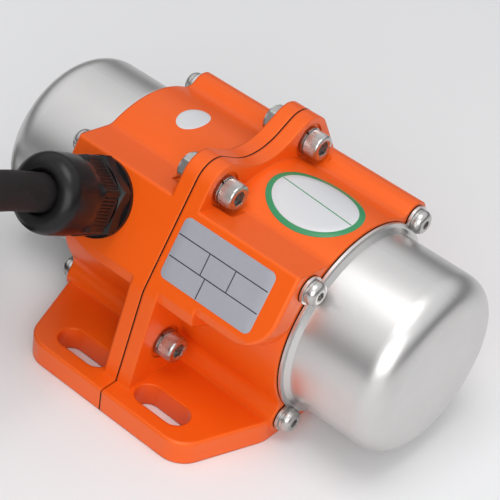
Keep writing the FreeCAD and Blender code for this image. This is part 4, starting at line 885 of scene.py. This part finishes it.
# ---- cable gland
@dataclass
class CableGland:
    """Washer, body and ribbed dome nut that clamp the cable.

    Heights run along the gland's axis from the pad. foot_bevel is a height over the nut's start with a
    radius, neck one over the hexagon's top and hollow one under the nut's top.
    """

    shop: Workshop
    foot: Triple = (-32.5, -42.642, 62.737)
    flats: float = 26.6
    corner_turn: float = 32.0
    corner_radius: float = 15.15
    ribs_per_turn: int = 66
    rib_depth: float = 0.45
    rib_fade: Pair = (25.0, 29.0)
    rib_margin: float = 1.5
    side_margin: float = 1.1
    nut_start: float = 7.9
    foot_radius: float = 13.0
    foot_bevel: Pair = (0.35, 13.8)
    hex_top: float = 17.5
    hex_bevel: float = 14.6
    neck: Pair = (1.4, 14.05)
    dome_start: float = 3.0
    dome_radius: float = 14.2
    top: float = 34.0
    edge: float = 5.2
    mouth: float = 7.15
    lip: float = 1.85
    throat: float = 4.0
    hollow: Pair = (8.0, 11.0)

    def place(self) -> Matrix:
        """Placement on the sloped pad, the nut's own Z pointing out."""
        return Matrix.Translation(mm(*self.foot)) @ Matrix.Rotation(math.radians(90 - SLOPE), 4, "X")

    def axis_point(self, distance: float) -> Vector:
        """Point on the gland's axis, at a distance from the pad."""
        return Vector(self.foot) + PAD_OUT * distance

    @cached_property
    def sides(self) -> AngleRule:
        """Radius rule of the hexagon with its corners turned down."""
        return capped(hexagonal(self.flats, self.corner_turn), self.corner_radius)

    def ribbed(self, angle: float) -> float:
        """Radius of the ribbed hexagon at an angle, the ribs fading out at the corners."""
        full, none = self.rib_fade
        fade = min(1.0, max(0.0, (none - abs(off_flat(angle, self.corner_turn))) / (none - full)))
        wave = 0.5 - 0.5 * math.cos(self.ribs_per_turn * angle)
        return self.sides(angle) - self.rib_depth * fade * wave ** 2

    def nut_rings(self) -> list[Ring]:
        """Rings of the dome nut, up its outside and down its mouth."""
        start, hex_top, top = self.nut_start, self.hex_top, self.top
        hollow_depth, hollow_radius = self.hollow
        rings = [Ring(start, hollow_radius), Ring(start, self.foot_radius),
                 Ring(start + self.foot_bevel[0], capped(self.sides, self.foot_bevel[1])),
                 Ring(start + self.side_margin, self.sides), Ring(start + self.rib_margin, self.ribbed),
                 Ring(hex_top - self.rib_margin, self.ribbed), Ring(hex_top - self.side_margin, self.sides),
                 Ring(hex_top, capped(self.sides, self.hex_bevel)), Ring(hex_top + self.neck[0], self.neck[1]),
                 Ring(hex_top + self.dome_start, self.dome_radius), Ring(top - self.edge, self.dome_radius)]
        rings += [Ring(top - self.edge * (1 - sine), self.dome_radius - self.edge * (1 - cosine))
                  for cosine, sine in quarter_turn(12)]
        rings += [Ring(top - self.lip * (1 - cosine), self.mouth + self.lip * (1 - sine))
                  for cosine, sine in quarter_turn(8, first=0)]
        return rings + [Ring(top - self.throat, self.mouth), Ring(top - hollow_depth, hollow_radius)]

    def build(self) -> None:
        """Make the nut and dress the other pieces."""
        bm = self.shop.loft(self.nut_rings(), segments=396, closed_ends=False)
        nut = self.shop.finish_object("gland_dome_nut", bm, POLYAMIDE, "gland_nylon", self.place(), smooth_angle=28)
        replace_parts(nut, "gland_nut")
        self.shop.dress(("gland_body", "gland_washer"), POLYAMIDE)
        self.shop.dress(("gland_seal",), BUSH)


@dataclass
class SupplyCable:
    """Rubber cable from the gland to its put-away turns, and its cores."""

    shop: Workshop
    gland: CableGland
    radius: float = 6.75
    on_axis: tuple[float, ...] = (-12.0, 28.0, 64.0)
    bends: tuple[Triple, ...] = (
        (-34.8, -133.3, 92.8), (-43.2, -168.5, 74.7), (-68.7, -193.0, 43.0),
        (-111.5, -193.07, 20.25), (-153.65, -174.4, 20.25))
    coil_radius: float = 68.25
    coil_sweep: float = 674.0
    drop_from: float = 318.0
    drop_over: float = 44.0
    points_per_turn: int = 16

    def route(self) -> list[Vector]:
        """Control points from inside the housing to the coil."""
        return [self.gland.axis_point(distance) for distance in self.on_axis] + [Vector(bend) for bend in self.bends]

    def turns(self) -> list[Vector]:
        """Control points of the two stacked turns, the upper one first."""
        before, first = self.route()[-2:]
        heading = (first - before).normalized()
        centre = first + Vector((heading.y, -heading.x, 0)) * self.coil_radius
        start = math.atan2(first.y - centre.y, first.x - centre.x)
        step = 360.0 / self.points_per_turn
        reach = self.coil_radius / math.cos(math.radians(step / 2))

        def on_turn(swept: float, radius: float) -> Vector:
            """Point after an angle in degrees, at a radius; it drops from the upper to the lower turn."""
            share = min(max((swept - self.drop_from) / self.drop_over, 0.0), 1.0)
            height = self.radius * (3 - 2 * (share * share * (3 - 2 * share)))
            angle = start - math.radians(swept)
            return Vector((centre.x + radius * math.cos(angle), centre.y + radius * math.sin(angle), height))

        points = [on_turn(count * step, reach) for count in range(1, int(self.coil_sweep / step) + 1)]
        return points + [on_turn(self.coil_sweep, self.coil_radius)]

    def build(self) -> None:
        points = self.route() + self.turns()
        curve = bpy.data.curves.new("supply_cable_jacket", "CURVE")
        curve.dimensions = "3D"
        curve.bevel_depth = 1.0
        curve.bevel_resolution = 10
        curve.resolution_u = 16
        curve.use_fill_caps = True
        spline = curve.splines.new("NURBS")
        spline.points.add(len(points) - 1)
        for knot, point in zip(spline.points, points):
            knot.co = (*(point * MM), 1.0)
            knot.radius = self.radius * MM
        spline.order_u = 3
        spline.use_endpoint_u = True
        cable = add_object("supply_cable_jacket", curve)
        curve.materials.append(self.shop.finishes.material(JACKET))
        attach(cable, "housing")
        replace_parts(cable, "supply_cable", "cable_coil")
        length = self.measure(cable)
        LOG.info("cable length %.0f mm", length / MM)
        self.shop.dress(("cable_end_wires", "motor_lead_wires"), CORE_BROWN)

    @staticmethod
    def measure(cable: bpy.types.Object) -> float:
        """Length of the curve's own line, in metres.

        Args:
            cable: the curve object.

        Returns:
            The length.
        """
        bevel = cable.data.bevel_depth
        cable.data.bevel_depth = 0.0
        line = bpy.data.meshes.new_from_object(cable)
        ends = ([line.vertices[index].co for index in edge.vertices] for edge in line.edges)
        total = sum((one - other).length for one, other in ends)
        bpy.data.meshes.remove(line)
        cable.data.bevel_depth = bevel
        return total


# ---- plates and labels
@dataclass
class Labels:
    """Blank rating plate on the sloped pad and two blank oval labels on the barrel.

    Places on the plate and the labels are flat ones: along the motor, then up the slope or round the
    barrel towards the front.
    """

    shop: Workshop
    barrel_radius: float = 39.0
    pad_reach: float = 67.71
    pad_base: Triple = (0.0, -42.6, 64.5)
    plate: tuple[Pair, Pair] = ((2.8, -12.6), (43.2, 10.6))
    plate_corner: float = 2.5
    rules: tuple[tuple[str, Pair, Pair], ...] = (
        ("rule_upper", (3.1, 3.8), (42.6, 3.8)), ("rule_lower", (3.2, -4.5), (42.6, -4.5)),
        ("rule_field_1", (17.2, 3.8), (17.2, -4.5)), ("rule_field_2", (28.8, 3.8), (28.8, -4.5)),
        ("rule_field_3", (19.5, -4.5), (19.5, -12.4)))
    small_centre: Pair = (-30.0, -1.0)
    large_centre: Pair = (29.5, 2.0)
    line_from: Pair = (-16.0, -1.8)
    line_to: Pair = (16.2, 0.6)
    ink_thick: float = 0.05

    def on_pad(self, flat: Vector, height: float) -> Vector:
        """Point over the sloped pad: x along the motor, y up the slope from the pad's base."""
        base = Vector(self.pad_base)
        base += PAD_OUT * (self.pad_reach - PAD_OUT.dot(base))
        return base + Vector((flat.x, 0, 0)) + PAD_UP * flat.y + PAD_OUT * height

    def on_barrel(self, flat: Vector, height: float) -> Vector:
        """Point over the barrel: x along the motor, y round it from straight up towards the front."""
        angle = math.radians(90) + flat.y / self.barrel_radius
        radius = self.barrel_radius + height
        return Vector((flat.x, radius * math.cos(angle), AXIS_HEIGHT + radius * math.sin(angle)))

    def stick(self, name: str, bm: Mesh, finish: Finish) -> None:
        """Dress a piece of a label; the housing's paint is the nearest slot."""
        self.shop.finish_object(name, bm, finish, "housing_paint")

    def strip(self, name: str, ends: tuple[Vector, Vector], half: float, finish: Finish, lift: LiftRule,
              height: float, pieces: int = 1) -> None:
        """Thin printed line.

        Args:
            name: the piece's name.
            ends: flat points that it runs between.
            half: half the line's width.
            finish: the ink.
            lift: where flat points lie.
            height: face of the line above the surface.
            pieces: steps along the line, for a curved surface.
        """
        start, end = ends
        way = (end - start).normalized()
        side = Vector((-way.y, way.x)) * half
        section = ((side, height), (-side, height), (-side, height - self.ink_thick), (side, height - self.ink_thick))
        rows = [[lift(start.lerp(end, step / pieces) + offset, level) for offset, level in section]
                for step in range(pieces + 1)]
        self.stick(name, skinned(rows), finish)

    def rating_plate(self) -> None:
        """Foil plate with ruled, empty fields."""
        low, high = (Vector(corner) for corner in self.plate)
        outline = outline_rectangle(low, high, self.plate_corner)
        self.stick("rating_plate", self.shop.slab(outline, self.on_pad, low=-0.02, high=0.16, edge=0.1), PLATE_FOIL)
        for name, start, end in self.rules:
            self.strip(name, (Vector(start), Vector(end)), half=0.2, finish=PLATE_INK, lift=self.on_pad, height=0.175)

    def small_oval(self) -> None:
        """Blank white oval on the half that carries the gland."""
        outline = outline_oval(Vector(self.small_centre), half_x=5.2, half_y=7.4)
        bm = self.shop.slab(outline, self.on_barrel, low=-0.05, high=0.14, edge=0.08)
        self.stick("oval_label_small", bm, LABEL_WHITE)

    def large_oval(self) -> None:
        """Blank white oval with a green rim and one dividing line."""
        centre = Vector(self.large_centre)
        rim = outline_oval(centre, half_x=18.6, half_y=15.0)
        self.stick("oval_label_rim", self.shop.slab(rim, self.on_barrel, low=-0.05, high=0.12, edge=0.06), LABEL_GREEN)
        inside = outline_oval(centre, half_x=16.4, half_y=12.8)
        self.stick("oval_label_field", self.shop.slab(inside, self.on_barrel, low=0.02, high=0.2, edge=0.04),
                   LABEL_WHITE)
        self.strip("oval_label_line", (centre + Vector(self.line_from), centre + Vector(self.line_to)), half=0.22,
                   finish=LABEL_GREEN, lift=self.on_barrel, height=0.215, pieces=8)

    def build(self) -> None:
        """Make all three."""
        self.rating_plate()
        self.small_oval()
        self.large_oval()


# ---- inside
@dataclass
class Inside(DressedNodes):
    """Stator, rotor, bearings and weights, which show when the motor is opened."""

    single: NodeTable = (
        (SHEET_STACK, ("stator_core", "rotor_core")), (COPPER, ("stator_winding",)), (CAST_ALUMINIUM, ("rotor_cage",)),
        (GROUND_STEEL, ("rotor_shaft", "weight_keys", "shaft_clips", "bearing_clips")))
    paired: NodeTable = (
        (GROUND_STEEL, ("bearing_outer_ring", "bearing_inner_ring", "bearing_balls")),
        (CAGE_BRASS, ("bearing_cage",)), (SAWN_IRON, ("fixed_weight", "adjustable_weight")),
        (BRIGHT_STEEL, ("fixed_weight_screw", "adjustable_weight_screw")))


# ---- studio
@dataclass
class Lamp:
    """One soft area lamp: where it is, where it points, its size in metres and its power in watts."""

    name: str
    place: Triple
    aim: Triple
    width: float
    height: float
    power: float


@dataclass
class Studio:
    """Camera, pale floor, lamps and world; lengths are in metres here."""

    shop: Workshop
    camera_place: Triple = (0.27589, -0.38571, 0.41889)
    forward: Triple = (-0.44836, 0.63744, -0.62662)
    up: Triple = (-0.49223, 0.40908, 0.76835)
    lens_ratio: float = 3.34452
    sensor: float = 36.0
    clip: Pair = (0.01, 20.0)
    floor_half: float = 6.0
    floor_drop: float = 0.0002
    sky: Triple = (0.88, 0.885, 0.90)
    horizon: float = 0.12
    crown: float = 0.60
    lean: float = 0.90
    cast_low: float = 0.02
    cast_top: float = 0.79
    mirror_low: float = 0.08
    mirror_top: float = 1.00
    lamps: tuple[Lamp, ...] = (
        Lamp("key_lamp", (0.05, -0.20, 1.15), (0.0, 0.0, 0.05), 0.6, 0.6, 4.2),
        Lamp("front_lamp", (0.75, -1.20, 0.72), (0.0, 0.0, 0.05), 1.3, 1.0, 10.6),
    )

    def camera(self) -> None:
        """Camera at the viewing angle, as a plain matrix."""
        back = -Vector(self.forward).normalized()
        right = Vector(self.up).cross(back).normalized()
        axes = (right, back.cross(right), back, Vector(self.camera_place))
        data = bpy.data.cameras.new("camera")
        data.sensor_width = self.sensor
        data.lens = self.lens_ratio * self.sensor
        data.clip_start, data.clip_end = self.clip
        item = add_object("camera", data)
        item.matrix_world = Matrix((*([axis[row] for axis in axes] for row in range(3)), (0, 0, 0, 1)))
        bpy.context.scene.camera = item

    def floor(self) -> None:
        """Wide pale floor that the motor stands on."""
        bm = bmesh.new()
        bmesh.ops.create_grid(bm, x_segments=8, y_segments=8, size=self.floor_half)
        mesh = bpy.data.meshes.new("floor")
        bm.to_mesh(mesh)
        bm.free()
        item = add_object("floor", mesh)
        item.location.z = -self.floor_drop
        mesh.materials.append(self.shop.finishes.material(FLOOR_PALE))

    def light(self) -> None:
        """Soft lamps and an even pale world."""
        for lamp in self.lamps:
            data = bpy.data.lights.new(lamp.name, "AREA")
            data.shape = "RECTANGLE"
            data.size, data.size_y = lamp.width, lamp.height
            data.energy = lamp.power
            item = add_object(lamp.name, data)
            item.location = lamp.place
            way = Vector(lamp.aim) - Vector(lamp.place)
            item.rotation_mode = "QUATERNION"
            item.rotation_quaternion = way.to_track_quat("-Z", "Y")
        world = bpy.data.worlds.new("studio")
        bpy.context.scene.world = world
        world.use_nodes = True
        sheet = NodeSheet(world.node_tree)
        sky = world.node_tree.nodes["Background"]
        sky.inputs["Color"].default_value = (*self.sky, 1.0)
        way = sheet.add("ShaderNodeTexCoord")
        split = sheet.add("ShaderNodeSeparateXYZ")
        sheet.join(way.outputs["Generated"], split.inputs[0])
        seen = sheet.add("ShaderNodeLightPath")
        leaning = sheet.maths("MULTIPLY_ADD", split.outputs["X"], self.lean, split.outputs["Z"])
        cast = self.dome(sheet, leaning, self.cast_low, self.cast_top)
        mirrored = self.dome(sheet, split.outputs["Z"], self.mirror_low, self.mirror_top)
        strength = mirrored
        for ray, value in (("Is Diffuse Ray", cast), ("Is Camera Ray", 1.0)):
            mix = sheet.add("ShaderNodeMix", data_type="FLOAT")
            sheet.join(seen.outputs[ray], mix.inputs["Factor"])
            sheet.join(strength, mix.inputs["A"])
            sheet.join(value, mix.inputs["B"])
            strength = mix.outputs["Result"]
        sheet.join(strength, sky.inputs["Strength"])

    def dome(self, sheet: NodeSheet, rise: Socket, low: float, top: float) -> Socket:
        """Strength of the overhead dome by how far a direction rises.

        Args:
            sheet: the world's nodes.
            rise: the direction's rise.
            low: strength at the horizon.
            top: strength overhead.

        Returns:
            The strength's socket.
        """
        node = sheet.add("ShaderNodeMapRange", interpolation_type="SMOOTHSTEP", in_From_Min=self.horizon,
                         in_From_Max=self.crown, in_To_Min=low, in_To_Max=top)
        sheet.join(rise, node.inputs["Value"])
        return node.outputs[0]

    def build(self) -> None:
        """Set up the studio."""
        self.camera()
        self.floor()
        self.light()
        bpy.context.scene.view_settings.view_transform = "Standard"


def write_sizes() -> None:
    """Update the view layer so that every placement is current."""
    bpy.context.view_layer.update()


def main() -> None:
    """Build the scene in order: camera and cable first, then the motor from outside to inside."""
    shop = Workshop()
    Studio(shop).build()
    gland = CableGland(shop)
    SupplyCable(shop, gland).build()
    gland.build()
    for part in (Housing(shop), EndCaps(shop), FlangeFasteners(shop), CapFasteners(shop), Labels(shop), Inside(shop)):
        part.build()
        LOG.info("%s ready", type(part).__name__)
    write_sizes()


if __name__ == "__main__":
    main()
